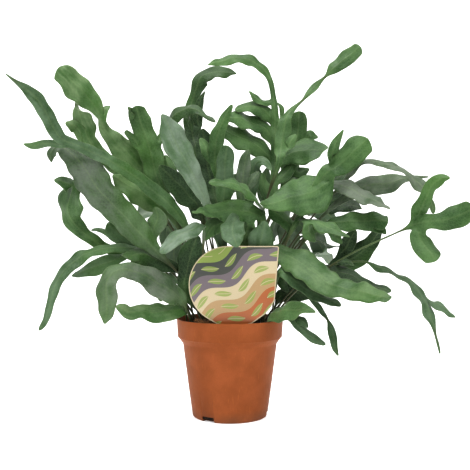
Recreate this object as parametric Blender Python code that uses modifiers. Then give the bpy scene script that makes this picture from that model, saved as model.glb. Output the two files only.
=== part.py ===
"""A potted blue star fern: nursery pot, soil, rhizomes, plant label and one solid for each frond.

Tables and driving sizes are in millimetres, and the scene is in metres. +Z is up, the front faces -Y,
and the origin is the middle of the pot's underside.
"""

import math

import bmesh
import bpy
from mathutils import Matrix, Vector

MM = 0.001
CLEARANCE = 0.3

# Pot, turned round +Z
POT_HEIGHT = 110.0
LIP_ROUNDING = 0.5
RIM_RADIUS = 60.0
RIM_FOOT_RADIUS = 58.8
RIM_FOOT_HEIGHT = 89.0
SHOULDER_HEIGHT = 82.5
BODY_TOP_RADIUS = 53.0
BASE_RADIUS = 42.3
BASE_ROUNDING = 3.0
WALL = 1.4
FLOOR = 2.0
POT_SEGMENTS = 48
DRAIN_AZIMUTHS = (-124.5, -4.5, 115.5)
DRAIN_WIDTH = 15.5
DRAIN_HEIGHT = 6.0

# Soil, with a low crown in the middle
SOIL_EDGE_HEIGHT = 101.0
SOIL_CROWN = 4.0
HOLE_DEPTH = 10.0
HOLE_SIDES = 5

# Stems: they leave the soil steeply and lean over towards the blade
STEM_WIDTH = 2.2
STEM_THICKNESS = 2.0
STEM_LIFT = (0.3, 0.45)
STEM_LEAN = (0.68, 0.1)

# Blades: widths in the table are as seen, times the fullness
BLADE_THICKNESS = 0.8
MIDRIB_THICKNESS = 1.2
STEM_LIKE_WIDTH = 4.0
TIP_WIDTH = 0.6
BLUNT_WIDTH = 4.0
FULLNESS = 1.16
LEAST_SEEN = 0.6
OUTWARD_TURN = 0.16
UPWARD_TURN = 36.0
DROOP = 0.12
WAVE_HEIGHT = 1.3
WAVE_LENGTH = 46.0
FLAT_FROM = 2.0
WAVED_FROM = 6.0
LOBE_ROOT_SHARE = 0.42
LOBE_ROOT_LEAST = 2.5
LOBE_ROOT_MOST = 8.5
LOBE_SWEEP = 1.5

# Rings along a blade and along a bare stem
RING_SPACING = 13.0
STEM_RING_SPACING = 36.0

# The fronds are drawn in front elevation as they look from the viewing point, on the plane through the
# pot's axis. A point nearer than that plane is drawn larger, so its true place lies along the line of sight.
VIEW_X = 5.7
VIEW_DISTANCE = 850.0
VIEW_Z = 203.7

# Label, standing just inside the front of the rim
LABEL_Y = -46.0
LABEL_THICKNESS = 0.9
LABEL_CENTRE = (-2.0, 150.0)
LABEL_RADIUS = 42.0
LABEL_CORNER = (53.0, 192.0)
LABEL_RIGHT_FOOT = (48.3, 134.0)
STAKE_WIDTH = 12.0
STAKE_FOOT = 64.0

# Rhizomes: radius and the route of the middle over the soil
RHIZOMES = {
    "rhizome_left": (4.2, ((-7, -38, 106.6), (-19, -39, 107.2), (-30, -38, 108.4), (-38, -36, 111.5))),
    "rhizome_right": (3.8, ((20, 42, 105.6), (30, 41, 105.4), (40, 34, 105.2), (48, 23, 105))),
}


def frond(foot, depth, spine, lobes=(), face=None, wave=1.0):
    """One row of the frond table.

    foot: (x, y) where the stem enters the soil. depth: true y at the start, middle and end of the spine.
    spine: (x, z, width) along the midrib, from the first point above the bare stem to the tip.
    lobes: (spine point, extra depth at the lobe's tip, its own (x, z, width) points).
    face: the way the blade faces, as degrees turned from the front and degrees turned up. Without it the
    blade turns a little outwards and up.
    """
    middle = spine[len(spine) // 2][0]
    face = face or (middle * OUTWARD_TURN, UPWARD_TURN)
    return {"foot": foot, "depth": depth, "spine": spine, "lobes": lobes, "face": face, "wave": wave}


FRONDS = {
    # Left side, from the highest reach down
    "frond_far_left": frond(
        (-16, -10), (-19, -78, -151),
        ((-54, 220, 9), (-70, 240, 14), (-86, 253, 15), (-103, 267, 13), (-121, 279, 13), (-138, 289, 11),
         (-155, 297, 12), (-171, 304.5, 10), (-186, 310, 11), (-195, 317, 13), (-202, 330, 14),
         (-210, 344, 14), (-218, 357, 14), (-229, 368, 10), (-242, 377, 4), (-255, 387, 1)),
        ((8, -8, ((-205, 308, 7), (-222, 304.5, 7), (-235, 307, 1))),),
        face=(25, -10), wave=0.5,
    ),
    "frond_broad_left": frond(
        (-24, -14), (-36, -54, -56),
        ((-82, 184, 10), (-95, 198, 20), (-108, 212, 26), (-121, 226.5, 27), (-135, 240.5, 28),
         (-148, 254, 30),
         (-158, 269, 34), (-167, 283, 29), (-180, 296, 21), (-192, 303, 14), (-202, 297, 10), (-202, 285, 1)),
        ((1, 7, ((-86, 212, 16), (-82, 223, 20), (-84, 233, 6))),),
    ),
    "frond_left_oval": frond(
        (-12, 6), (9, -5, -32),
        ((-70, 236, 8), (-84, 258, 20), (-98, 277, 27), (-113, 293, 27), (-129, 309, 18), (-142.5, 324, 11),
         (-146, 337, 9), (-152, 348.5, 15), (-162, 361, 23), (-174.5, 373, 26), (-186.5, 385, 20)),
        ((6, 6, ((-142, 346, 8), (-135, 350, 2))),),
    ),
    "frond_left_bright": frond(
        (-18, 12), (40, 44, 22),
        ((-84, 236, 6), (-118, 270, 10), (-148, 296, 14), (-159, 311, 15), (-165, 325, 22), (-169, 338, 20),
         (-173, 348, 10), (-175, 355, 2)),
        ((3, -8, ((-172, 325, 12), (-184, 330, 5))),),
    ),
    "frond_left_low": frond(
        (-34, -10), (-7, -33, -45),
        ((-112, 178, 5), (-137, 188, 8), (-152, 197, 11), (-166, 207, 13), (-178, 219, 18), (-182, 231, 26),
         (-182, 244, 31), (-178, 258, 17), (-188, 264, 12), (-200, 266, 2)),
        ((7, 6, ((-170, 262, 9), (-166, 268, 3))),),
    ),
    "frond_left_round": frond(
        (-28, 2), (-11, -19, -24),
        ((-84, 178, 5), (-107, 192, 12), (-122, 203, 17), (-132, 211, 17)),
        ((2, 6, ((-140, 206, 5), (-150, 210, 4), (-158, 209, 2))),),
    ),
    "frond_left_hidden": frond(
        (-20, -2), (-5, -16, -24),
        ((-66, 225, 8), (-84, 241, 20), (-103, 254, 26), (-119, 262, 20), (-131, 270, 5)),
    ),
    "frond_left_droop": frond(
        (-40, -14), (-16, -59, -78),
        ((-92, 184, 6), (-116, 188, 8), (-138, 188, 9), (-160, 184, 11), (-178, 172, 13), (-192, 156, 13),
         (-200, 139, 9), (-205, 120, 8), (-210, 104, 7), (-217, 95, 2)),
        ((1, -16, ((-124, 177, 9), (-139, 172.5, 16), (-155, 166.5, 15), (-168, 160.5, 11),
         (-180, 157, 1))),),
        face=(-10, 35),
    ),
    "frond_left_grey_droop": frond(
        (-42, -27), (-43, -89, -113),
        ((-54, 130, 15), (-68, 141, 23), (-84, 151, 23), (-101, 160, 18), (-120, 165, 14), (-134, 160, 16),
         (-140, 147, 21), (-139, 129, 20), (-140, 114, 14), (-142, 102, 1)),
        face=(-8, 30),
    ),
    "frond_lowest_left": frond(
        (-48, -12), (-27, -57, -68),
        ((-50, 120, 9), (-59, 119, 15), (-72, 117, 18), (-87, 115.5, 18), (-102, 118, 13),
         (-114, 116, 15), (-123, 121, 8),
         (-130, 123, 3)),
        face=(0, 30), wave=1.5,
    ),
    "frond_left_dark": frond(
        (-40, -3), (-19, -40, -59),
        ((-58, 165, 8), (-74, 171, 15), (-90, 179, 18), (-105, 181, 17), (-116, 179, 12), (-122, 181, 3)),
        ((3, 8, ((-110, 174, 5), (-113, 171, 3))),),
    ),
    "frond_left_strip": frond(
        (-30, -22), (-59, -78, -84),
        ((-30, 215, 7), (-44, 209, 14), (-59, 202, 16), (-70, 192, 15), (-78, 184, 4)),
        face=(0, 50),
    ),
    "frond_behind_label_left": frond(
        (-28, -8), (-30, -35, -32),
        ((-43, 124, 3), (-49, 136, 11), (-52, 149, 15), (-49, 162, 17), (-46, 176, 26), (-42, 189, 25),
         (-38, 200, 8)),
    ),
    # Middle, left to right
    "frond_centre_left_dark": frond(
        (-16, 2), (-8, -19, -24),
        ((-34, 232, 8), (-45, 246, 20), (-58, 260, 23), (-71, 273, 15), (-81, 283, 2)),
    ),
    "frond_upright_folded": frond(
        (-10, -4), (-11, -5, -8),
        ((-76, 254, 8), (-84, 273, 20), (-88, 290, 23), (-92, 306, 21), (-97, 320, 20), (-102, 333, 21),
         (-104, 341, 17)),
        ((5, -12, ((-112, 344, 7), (-115, 349, 2))), (3, -4, ((-107, 310, 10), (-117, 320, 5))),
         (3, 8, ((-82, 308, 12), (-75, 320, 4))), (0, 10, ((-68, 266, 12), (-69, 280, 14), (-73, 292, 5)))),
    ),
    "frond_centre_pale": frond(
        (-10, -20), (-36, -56, -70),
        ((-27, 240, 8), (-34, 256, 15), (-43, 274, 19), (-52, 291, 23), (-61, 308, 26), (-68, 323, 22),
         (-73, 333, 12), (-78, 341, 1.5)),
        wave=0.6,
    ),
    "frond_dark_arch": frond(
        (-6, 10), (35, 18, 0),
        ((-52, 285, 6), (-66, 310, 11), (-68, 328, 13), (-60, 340, 14), (-47, 346, 12), (-36, 344, 9),
         (-28, 338, 4), (-22, 335, 5), (-16, 331, 2)),
        ((4, 10, ((-45, 332, 6), (-43, 321, 3))),),
    ),
    "frond_high_dark": frond(
        (2, 14), (66, 79, 57),
        ((-38, 300, 11), (-43, 322, 15), (-46, 343, 11), (-42, 358, 11), (-37, 370, 13), (-32, 382.5, 17),
         (-18, 388.5, 15), (-4, 388, 10), (8, 386, 1)),
        ((1, -8, ((-37, 335, 10), (-36, 347, 9), (-33, 357, 6), (-28, 367, 1))),),
    ),
    "frond_centre_dark": frond(
        (-2, 4), (4, 18, 22),
        ((-15, 236, 8), (-19, 256, 16), (-25, 280, 21), (-27, 302, 21), (-30, 317, 11), (-31, 325, 2)),
        ((1, -6, ((-33, 262, 13), (-44, 270, 4))), (2, 8, ((-8, 290, 12), (0, 300, 3)))),
    ),
    "frond_centre_green": frond(
        (-3, -6), (-11, -16, -16),
        ((-14, 268, 6), (-17, 290, 13), (-16, 308, 14), (-11, 325, 12), (-4, 340, 10), (3, 352, 2)),
        ((1, 6, ((-27, 302, 12), (-34, 314, 3))),),
    ),
    "frond_tall_centre": frond(
        (8, 8), (26, 57, 40),
        ((51, 238, 5), (50, 266, 7), (51, 288, 8), (51, 314, 8), (51, 337, 8), (50, 354, 6), (48, 368, 5),
         (45, 380, 6), (37.5, 392, 9), (24, 402, 10), (6, 403.5, 12), (-11, 400, 9), (-26, 396, 1)),
        ((5, -14, ((40, 353, 7), (31, 357, 9), (21, 367, 1.5))),
         (4, -18, ((36, 346, 16), (21, 349, 14), (8, 345, 5))),
         (3, -26, ((38, 326, 17), (24, 332, 19), (10, 335, 19), (-1, 336, 10))),
         (2, -20, ((38, 298, 17), (25, 308, 21), (10, 315, 22), (-4, 321, 16))),
         (2, -22, ((68, 295, 19), (84, 299, 27), (97, 299, 25), (106, 299, 14), (110, 301, 2))),
         (1, 8, ((60, 270, 12), (68, 280, 11), (74, 290, 3))),
         (0, 8, ((42, 252, 12), (37, 264, 11), (36, 275, 3)))),
    ),
    "frond_centre_short": frond(
        (0, -14), (-21, -33, -41),
        ((-7, 239, 12), (-6, 257, 19), (-6, 276, 17), (-5, 290, 17), (-4, 298, 14)),
    ),
    "frond_centre_grey": frond(
        (6, -8), (-13, -14, -12),
        ((12, 238, 7), (13, 256, 11), (15, 272, 13), (17, 287, 12), (21, 301, 3)),
        ((1, 4, ((25, 266, 10), (33, 276, 3))),),
    ),
    "frond_centre_curved": frond(
        (12, -2), (4, 0, -14),
        ((20, 232, 7), (22, 250, 14), (24, 268, 17), (29, 284, 16), (40, 286, 9), (47, 276, 2)),
    ),
    "frond_arch_over_label": frond(
        (14, -18), (-10, -56, -73),
        ((37, 229, 8), (29, 244, 13), (15, 257, 14), (-3, 263, 12), (-25, 263, 3)),
        face=(0, 40),
    ),
    "frond_rim_arch": frond(
        (8, -26), (-31, -41, -90),
        ((36, 221, 10), (23, 229, 19), (5, 232, 24), (-13, 230, 24), (-28, 230, 13), (-43, 229, 3)),
        ((1, 9, ((20, 210, 18), (17, 197, 16), (20, 186, 5))), (3, 1, ((-20, 213, 18), (-27, 200, 5)))),
    ),
    "frond_behind_label_mid": frond(
        (-4, -22), (-27, -28, -28),
        ((-7, 190, 7), (-11, 204, 13), (-13, 217, 14), (-11, 228, 5)),
    ),
    "frond_over_label": frond(
        (2, -34), (-49, -86, -97),
        ((8, 224, 7), (4, 217, 21), (3, 206, 24), (6, 197, 15), (9, 189, 3)),
        face=(0, 10),
    ),
    "frond_behind_label_right": frond(
        (20, -30), (-38, -39, -39),
        ((32, 178, 12), (34, 192, 25), (37, 206, 22), (39, 216, 8)),
        face=(0, 10),
    ),
    # Right side, from the top down
    "frond_tall_right": frond(
        (14, 4), (-3, 26, 22),
        ((55, 284, 6), (58, 303, 13), (61, 322, 15), (64, 337, 10), (72, 347, 5), (83, 357, 2.5),
         (94, 370, 8),
         (108, 383, 2.5), (118, 393, 12), (130, 403, 17), (142, 412, 14)),
        ((3, 4, ((59, 347, 5), (53, 354, 1))), (1, 6, ((68, 308, 11), (75, 318, 3)))),
    ),
    "frond_right_squared": frond(
        (16, 16), (62, 70, 66),
        ((60, 256, 6), (66, 278, 15), (72, 298, 19), (76, 314, 20), (78, 330, 17), (78, 336, 15)),
        ((3, 4, ((90, 317, 12), (98, 315, 4))), (1, 8, ((78, 274, 14), (88, 278, 4)))),
    ),
    "frond_right_big": frond(
        (24, -6), (-14, -19, -24),
        ((72, 212, 5), (92, 246, 7), (106, 270, 14), (120, 280.5, 18), (133, 291, 24), (146, 303.5, 25)),
        ((0, 4, ((60, 222, 14), (50, 230, 12), (43, 240, 3))),
         (2, -30, ((100, 256, 37), (88, 250, 41), (70, 246, 31), (52, 240, 18), (39, 238, 9), (34, 239, 2))),
         (3, -2, ((115, 294, 12), (120, 308, 9), (129, 324, 1)))),
        wave=0.7,
    ),
    "frond_right_dark": frond(
        (22, 10), (31, 35, 22),
        ((78, 228, 6), (98, 240, 16), (116, 242, 23), (133, 239, 17), (150, 233, 1)),
        ((1, 12, ((112, 260, 12), (126, 271, 15), (143, 279, 4))),),
    ),
    "frond_right_pale": frond(
        (28, 4), (18, -22, -81),
        ((82, 240, 5), (102, 256, 8), (120, 261, 12), (138, 255, 18), (155, 246, 19), (168, 239.5, 12),
         (182, 233, 1)),
        face=(8, 35),
    ),
    "frond_right_strap": frond(
        (30, -2), (0, -11, -19),
        ((112, 232, 4), (140, 253, 13), (157, 260, 19), (172, 261, 20), (186, 264, 15), (200, 267.5, 7),
         (214, 269, 4), (226, 269.5, 1)),
        face=(8, 30),
    ),
    "frond_right_chain": frond(
        (26, -22), (4, -36, -65),
        ((122, 256, 3), (136, 273, 5), (147, 284.5, 6), (156, 287.5, 7), (166, 287, 11), (174, 284, 5),
         (183, 282, 8), (191, 279, 10), (198, 275, 5), (205, 270, 11), (213, 263, 11), (220, 254, 9),
         (225, 246, 5), (229, 238, 8), (230, 227, 3)),
        face=(8, 40), wave=1.8,
    ),
    "frond_right_end": frond(
        (42, -22), (-59, -97, -113),
        ((140, 184, 1.8), (170, 198, 1.8), (199, 211, 3), (212, 217, 16), (228, 219, 14), (243, 220.5, 19),
         (256, 224.5, 24), (267, 229.5, 20)),
        ((3, -10, ((216, 234, 17), (223, 249, 13), (230, 262, 14), (241, 268, 10), (250, 268, 1))),
         (3, -14, ((213, 203, 20), (220, 191, 24), (227.5, 181, 18)))),
        face=(12, 15), wave=1.6,
    ),
    "frond_right_level": frond(
        (36, -4), (-11, -27, -40),
        ((96, 211, 7), (114, 216, 12), (130, 219, 16), (148, 220, 18), (162, 220, 18), (171, 219, 16)),
        ((1, 4, ((118, 204, 12), (126, 195, 4))), (4, -6, ((170, 211, 9), (177, 204, 2)))),
        face=(0, 30),
    ),
    "frond_right_small": frond(
        (34, -22), (-22, -50, -72),
        ((76, 219, 6), (94, 219, 12), (110, 213, 15), (125, 206, 8), (136, 201, 1)),
        ((1, 4, ((88, 206, 13), (96, 197, 4))),),
    ),
    "frond_right_deep": frond(
        (38, 6), (40, 44, 35),
        ((98, 160, 6), (116, 165, 14), (132, 174, 20), (147, 183, 21), (158, 193, 15), (166, 204, 11),
         (171, 213, 4)),
        ((2, 6, ((132, 190, 15), (137, 201, 13), (143, 210, 3))),),
    ),
    "frond_right_edge": frond(
        (36, 16), (53, 75, 88),
        ((80, 202, 3), (97, 198, 5), (112, 192, 6), (130, 190, 3)),
        face=(0, 65),
    ),
    "frond_right_light": frond(
        (37, -31), (-23, -80, -132),
        ((48, 186, 14), (63, 181, 22), (80, 173, 30), (97, 160, 30), (112, 148, 25), (128, 144, 21),
         (146, 140, 20), (163, 136, 17), (177, 132, 11)),
        face=(8, 25),
    ),
    "frond_right_low_dark": frond(
        (44, -8), (-36, -59, -78),
        ((96, 163, 8), (116, 163, 16), (135, 158, 15), (151, 150, 11), (166, 145, 9), (180, 140, 5)),
        ((1, 6, ((124, 173, 7), (134, 173, 5), (141, 169, 1))),),
    ),
    "frond_right_finger": frond(
        (46, -16), (-46, -62, -78),
        ((56, 163, 8), (73, 152, 12), (90, 141.5, 12), (105, 132.5, 12), (117, 127.5, 9), (126, 122.5, 3)),
    ),
    "frond_behind_label_far": frond(
        (46, -2), (-6, -9, -11),
        ((56, 134, 12), (67, 137, 20), (80, 138, 17), (94, 133, 2)),
        ((1, -6, ((62, 148, 16), (60, 158, 13), (61, 167, 4))),),
    ),
    "frond_over_rim": frond(
        (43, -28), (-48, -80, -102),
        ((46, 113, 14), (58, 117, 21), (71, 119.5, 19), (84, 120, 11), (98, 116, 1)),
        face=(0, 35),
    ),
    "frond_rim_droop": frond(
        (50, -11), (-30, -46, -57),
        ((60, 115, 6), (71, 109, 8), (78, 100, 8), (88, 91, 8), (99, 84, 7), (109, 79, 3)),
        ((1, -6, ((80, 108, 10), (87, 100, 4))),),
    ),
    "frond_low_twisted": frond(
        (48, 8), (-5, -35, -59),
        ((84, 137, 3), (97, 126, 6), (105, 116, 6), (111, 107, 2.5), (115, 97, 9), (117, 85, 9), (119, 75, 6),
         (123, 66, 1)),
    ),
    "frond_right_slender": frond(
        (42, 14), (-5, -32, -68),
        ((118, 170, 2.5), (148, 174, 2.5), (160, 171, 4), (169, 166.5, 8), (180, 163, 5), (190, 158.5, 8),
         (199, 154, 5), (206, 149, 7), (213, 140, 12), (220, 128, 12), (226, 113, 10), (230, 102, 6),
         (232.5, 91, 3), (235.5, 80, 3.5), (238, 68, 1)),
        ((9, -8, ((231, 126, 7), (240, 121, 9), (248, 114.5, 8), (256, 110, 1))),),
    ),
    # Far side of the crown
    "frond_back_left": frond(
        (-22, 22), (60, 122, 182),
        ((-44, 196, 8), (-60, 214, 18), (-76, 226, 22), (-90, 230, 20), (-102, 224, 12), (-110, 214, 2)),
        ((2, 14, ((-70, 204, 17), (-66, 186, 16), (-68, 172, 4))),
         (3, -16, ((-96, 246, 16), (-108, 260, 15), (-122, 268, 4))),
         (1, -8, ((-72, 238, 16), (-80, 256, 15), (-84, 272, 4)))),
        face=(200, 40),
    ),
    "frond_back_low_left": frond(
        (-34, 24), (62, 120, 172),
        ((-58, 150, 8), (-72, 160, 18), (-86, 164, 20), (-98, 160, 14), (-106, 150, 2)),
        ((2, 10, ((-79, 144, 16), (-78, 130, 4))), (2, -8, ((-92, 180, 16), (-106, 190, 4))),
         (1, -16, ((-64, 180, 20), (-62, 198, 18), (-70, 212, 4)))),
        face=(210, 45),
    ),
    "frond_back_middle": frond(
        (-8, 32), (72, 128, 178),
        ((-12, 200, 10), (-16, 226, 22), (-18, 252, 26), (-22, 278, 22), (-26, 296, 8)),
        ((2, -12, ((-36, 256, 18), (-50, 268, 4))), (2, 12, ((4, 262, 18), (16, 274, 4))),
         (1, 10, ((4, 232, 18), (18, 240, 4))), (1, -10, ((-36, 232, 16), (-48, 240, 4)))),
        face=(180, 35),
    ),
    "frond_back_right": frond(
        (20, 30), (68, 128, 184),
        ((44, 200, 10), (58, 226, 22), (72, 248, 24), (88, 260, 18), (102, 262, 4)),
        ((2, 12, ((90, 236, 18), (106, 230, 16), (118, 222, 4))), (1, 8, ((76, 216, 18), (92, 204, 4))),
         (1, -10, ((46, 244, 18), (40, 262, 16), (42, 278, 4))), (2, -10, ((70, 272, 17), (76, 292, 4)))),
        face=(165, 40),
    ),
    "frond_back_low_right": frond(
        (34, 26), (62, 116, 168),
        ((60, 160, 8), (78, 176, 18), (94, 184, 20), (108, 180, 14), (118, 168, 2)),
        ((2, 10, ((92, 164, 16), (98, 146, 4))), (2, -8, ((98, 204, 17), (108, 220, 4))),
         (1, -26, ((70, 196, 20), (64, 212, 16), (66, 224, 4)))),
        face=(150, 45),
    ),
    "frond_back_rim": frond(
        (6, 42), (76, 116, 148),
        ((6, 140, 8), (12, 152, 18), (22, 156, 20), (32, 150, 14), (38, 138, 3)),
        ((1, 10, ((26, 138, 15), (36, 126, 4))), (1, -8, ((-2, 168, 15), (-8, 182, 4)))),
        face=(180, 55),
    ),
}

COLOURS = {
    "terracotta": (0xA8, 0x5A, 0x35),
    "soil": (0x2E, 0x22, 0x1A),
    "rhizome": (0x6B, 0x4A, 0x2A),
    "label": (0xE0, 0xA8, 0x74),
    "leaf": (0x5A, 0x78, 0x58),
}


def linear(channel):
    """One sRGB channel, 0 to 255, as linear light."""
    value = channel / 255
    return value / 12.92 if value <= 0.04045 else ((value + 0.055) / 1.055) ** 2.4


def material(name, roughness):
    """A Principled material in one of the named colours."""
    made = bpy.data.materials.new(name)
    made.use_nodes = True
    shader = made.node_tree.nodes["Principled BSDF"]
    shader.inputs["Base Color"].default_value = (*map(linear, COLOURS[name]), 1.0)
    shader.inputs["Roughness"].default_value = roughness
    shader.inputs["Metallic"].default_value = 0.0
    return made


def add_object(name, mesh, collection, finish=None):
    """A mesh as an object of its own in a collection."""
    made = bpy.data.objects.new(name, mesh)
    collection.objects.link(made)
    if finish:
        mesh.materials.append(finish)
    return made


def add_cutter(name, mesh, collection):
    """A mesh as a hidden body that others are cut with."""
    made = add_object(name, mesh, collection)
    made.hide_render = True
    made.display_type = "WIRE"
    return made


def cut(target, cutter):
    """Cut one body's form out of another."""
    boolean = target.modifiers.new("cut " + cutter.name, "BOOLEAN")
    boolean.operation = "DIFFERENCE"
    boolean.object = cutter


def turned(name, profile, segments, collection, finish):
    """A body turned round +Z from (radius, height) points that run down its outer side."""
    mesh = bpy.data.meshes.new(name)
    points = [(radius * MM, 0.0, height * MM) for radius, height in profile]
    mesh.from_pydata(points, [(i, i + 1) for i in range(len(points) - 1)], [])
    body = add_object(name, mesh, collection, finish)
    screw = body.modifiers.new("turn", "SCREW")
    screw.axis = "Z"
    screw.steps = segments
    screw.render_steps = segments
    screw.use_merge_vertices = True
    screw.merge_threshold = 0.00001
    return body


def boxes_mesh(name, boxes):
    """Separate boxes, each given by its lowest and highest corner and its turn about +Z, in one mesh."""
    form = bmesh.new()
    for low, high, azimuth in boxes:
        centre = (Vector(low) + Vector(high)) / 2 * MM
        size = (Vector(high) - Vector(low)) * MM
        place = Matrix.Rotation(azimuth, 4, "Z") @ Matrix.Translation(centre) @ Matrix.Diagonal((*size, 1.0))
        bmesh.ops.create_cube(form, size=1.0, matrix=place)
    mesh = bpy.data.meshes.new(name)
    form.to_mesh(mesh)
    form.free()
    return mesh


def inner_radius(height):
    """The pot's inner radius at a height above its foot."""
    if height >= RIM_FOOT_HEIGHT:
        rise = (height - RIM_FOOT_HEIGHT) / (POT_HEIGHT - RIM_FOOT_HEIGHT)
        return RIM_FOOT_RADIUS + (RIM_RADIUS - RIM_FOOT_RADIUS) * rise - WALL
    if height >= SHOULDER_HEIGHT:
        rise = (height - SHOULDER_HEIGHT) / (RIM_FOOT_HEIGHT - SHOULDER_HEIGHT)
        return BODY_TOP_RADIUS + (RIM_FOOT_RADIUS - BODY_TOP_RADIUS) * rise - WALL
    return BASE_RADIUS + (BODY_TOP_RADIUS - BASE_RADIUS) * height / SHOULDER_HEIGHT - WALL


def make_pot(parts, cutters, finish):
    """The thin pot with its stepped rim and rounded foot, and drain notches through the foot."""
    foot_rounding = [
        (
            BASE_RADIUS - BASE_ROUNDING * (1 - math.cos(math.radians(angle))),
            BASE_ROUNDING * (1 - math.sin(math.radians(angle))),
        )
        for angle in (0, 30, 60, 90)
    ]
    profile = [
        (0, FLOOR),
        (inner_radius(FLOOR), FLOOR),
        (inner_radius(SHOULDER_HEIGHT), SHOULDER_HEIGHT),
        (inner_radius(RIM_FOOT_HEIGHT), RIM_FOOT_HEIGHT),
        (RIM_RADIUS - WALL, POT_HEIGHT - LIP_ROUNDING),
        (RIM_RADIUS - WALL + LIP_ROUNDING, POT_HEIGHT),
        (RIM_RADIUS - LIP_ROUNDING, POT_HEIGHT),
        (RIM_RADIUS, POT_HEIGHT - LIP_ROUNDING),
        (RIM_FOOT_RADIUS, RIM_FOOT_HEIGHT),
        (BODY_TOP_RADIUS, SHOULDER_HEIGHT),
        *foot_rounding,
        (0, 0),
    ]
    pot = turned("pot", profile, POT_SEGMENTS, parts, finish)
    drains = [
        (
            (BASE_RADIUS - 5 * WALL, -DRAIN_WIDTH / 2, -1),
            (BASE_RADIUS + 5, DRAIN_WIDTH / 2, DRAIN_HEIGHT),
            math.radians(azimuth),
        )
        for azimuth in DRAIN_AZIMUTHS
    ]
    cut(pot, add_cutter("drain_cutter", boxes_mesh("drain_cutter", drains), cutters))


def soil_height(x, y):
    """Height of the soil's surface: a low crown that falls to the edge."""
    share = min(1.0, math.hypot(x, y) / inner_radius(SOIL_EDGE_HEIGHT))
    return SOIL_EDGE_HEIGHT + SOIL_CROWN * (1 - share * share)


def make_soil(parts, cutters, finish):
    """The soil that fills the pot, with an upright hole for each stem and a slot for the label's stake."""
    edge = inner_radius(SOIL_EDGE_HEIGHT) - CLEARANCE
    crown = [(edge * share, soil_height(edge * share, 0)) for share in (0, 0.35, 0.7, 1)]
    profile = [
        *crown,
        (inner_radius(RIM_FOOT_HEIGHT) - CLEARANCE, RIM_FOOT_HEIGHT),
        (inner_radius(SHOULDER_HEIGHT) - CLEARANCE, SHOULDER_HEIGHT),
        (inner_radius(FLOOR) - CLEARANCE, FLOOR + CLEARANCE),
        (0, FLOOR + CLEARANCE),
    ]
    soil = turned("soil", profile, POT_SEGMENTS // 2, parts, finish)
    holes = bmesh.new()
    for row in FRONDS.values():
        x, y = row["foot"]
        low = soil_height(x, y) - HOLE_DEPTH
        high = SOIL_EDGE_HEIGHT + SOIL_CROWN + 2
        place = Matrix.Translation(Vector((x, y, (low + high) / 2)) * MM)
        radius = (STEM_WIDTH / 2 + 2 * CLEARANCE) * MM
        bmesh.ops.create_cone(holes, cap_ends=True, segments=HOLE_SIDES, radius1=radius, radius2=radius,
                              depth=(high - low) * MM, matrix=place)
    hole_mesh = bpy.data.meshes.new("stem_holes")
    holes.to_mesh(hole_mesh)
    holes.free()
    cut(soil, add_cutter("stem_holes", hole_mesh, cutters))
    slot = (
        (-STAKE_WIDTH / 2 - CLEARANCE, LABEL_Y - LABEL_THICKNESS / 2 - CLEARANCE, STAKE_FOOT - CLEARANCE),
        (STAKE_WIDTH / 2 + CLEARANCE, LABEL_Y + LABEL_THICKNESS / 2 + CLEARANCE, POT_HEIGHT),
        0.0,
    )
    cut(soil, add_cutter("stake_slot", boxes_mesh("stake_slot", [slot]), cutters))


def tube(name, route, radii, parts, finish):
    """A bevelled curve along a route, as a mesh with its caps welded on."""
    curve = bpy.data.curves.new(name, "CURVE")
    curve.dimensions = "3D"
    curve.bevel_depth = MM
    curve.bevel_resolution = 1
    curve.use_fill_caps = True
    line = curve.splines.new("POLY")
    line.points.add(len(route) - 1)
    for point, place, radius in zip(line.points, route, radii):
        point.co = (*(Vector(place) * MM), 1.0)
        point.radius = radius
    guide = bpy.data.objects.new(name, curve)
    parts.objects.link(guide)
    mesh = bpy.data.meshes.new_from_object(guide.evaluated_get(bpy.context.evaluated_depsgraph_get()))
    bpy.data.objects.remove(guide)
    form = bmesh.new()
    form.from_mesh(mesh)
    bmesh.ops.remove_doubles(form, verts=form.verts, dist=1e-6)
    bmesh.ops.recalc_face_normals(form, faces=form.faces)
    form.to_mesh(mesh)
    form.free()
    mesh.shade_smooth()
    return add_object(name, mesh, parts, finish)


def make_rhizomes(parts, finish):
    """The creeping rhizomes that lie on the soil."""
    for name, (radius, route) in RHIZOMES.items():
        way = smooth_line([(*place, radius) for place in route], 6.0)
        last = len(way) - 1
        swell = [0.55 + 0.45 * math.sin(math.pi * min(1, 0.15 + i / last)) for i in range(last + 1)]
        radii = [radius * share for share in swell]
        tube(name, [point[:3] for point in way], radii, parts, finish)


def label_outline():
    """The tag's outline in (x, z): a round left side, a square top right corner and a stake."""
    centre_x, centre_z = LABEL_CENTRE
    round_side = [
        (
            centre_x + LABEL_RADIUS * math.cos(math.radians(angle)),
            centre_z + LABEL_RADIUS * math.sin(math.radians(angle)),
        )
        for angle in range(90, 241, 10)
    ]
    neck = POT_HEIGHT - 6
    return [
        LABEL_CORNER,
        *round_side,
        (-STAKE_WIDTH / 2, neck),
        (-STAKE_WIDTH / 2, STAKE_FOOT + 8),
        (0, STAKE_FOOT),
        (STAKE_WIDTH / 2, STAKE_FOOT + 8),
        (STAKE_WIDTH / 2, neck),
        (24, POT_HEIGHT - 1),
        (38, 119),
        (44.5, 127),
        LABEL_RIGHT_FOOT,
    ]


def make_label(parts, finish):
    """The label, a flat tag cut from thin sheet."""
    curve = bpy.data.curves.new("label", "CURVE")
    curve.dimensions = "2D"
    curve.fill_mode = "BOTH"
    curve.extrude = LABEL_THICKNESS / 2 * MM
    outline = curve.splines.new("POLY")
    points = label_outline()
    outline.points.add(len(points) - 1)
    for point, (x, z) in zip(outline.points, points):
        point.co = (x * MM, z * MM, 0.0, 1.0)
    outline.use_cyclic_u = True
    label = add_object("label", curve, parts, finish)
    label.rotation_euler = (math.pi / 2, 0, 0)
    label.location = (0, LABEL_Y * MM, 0)


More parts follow.
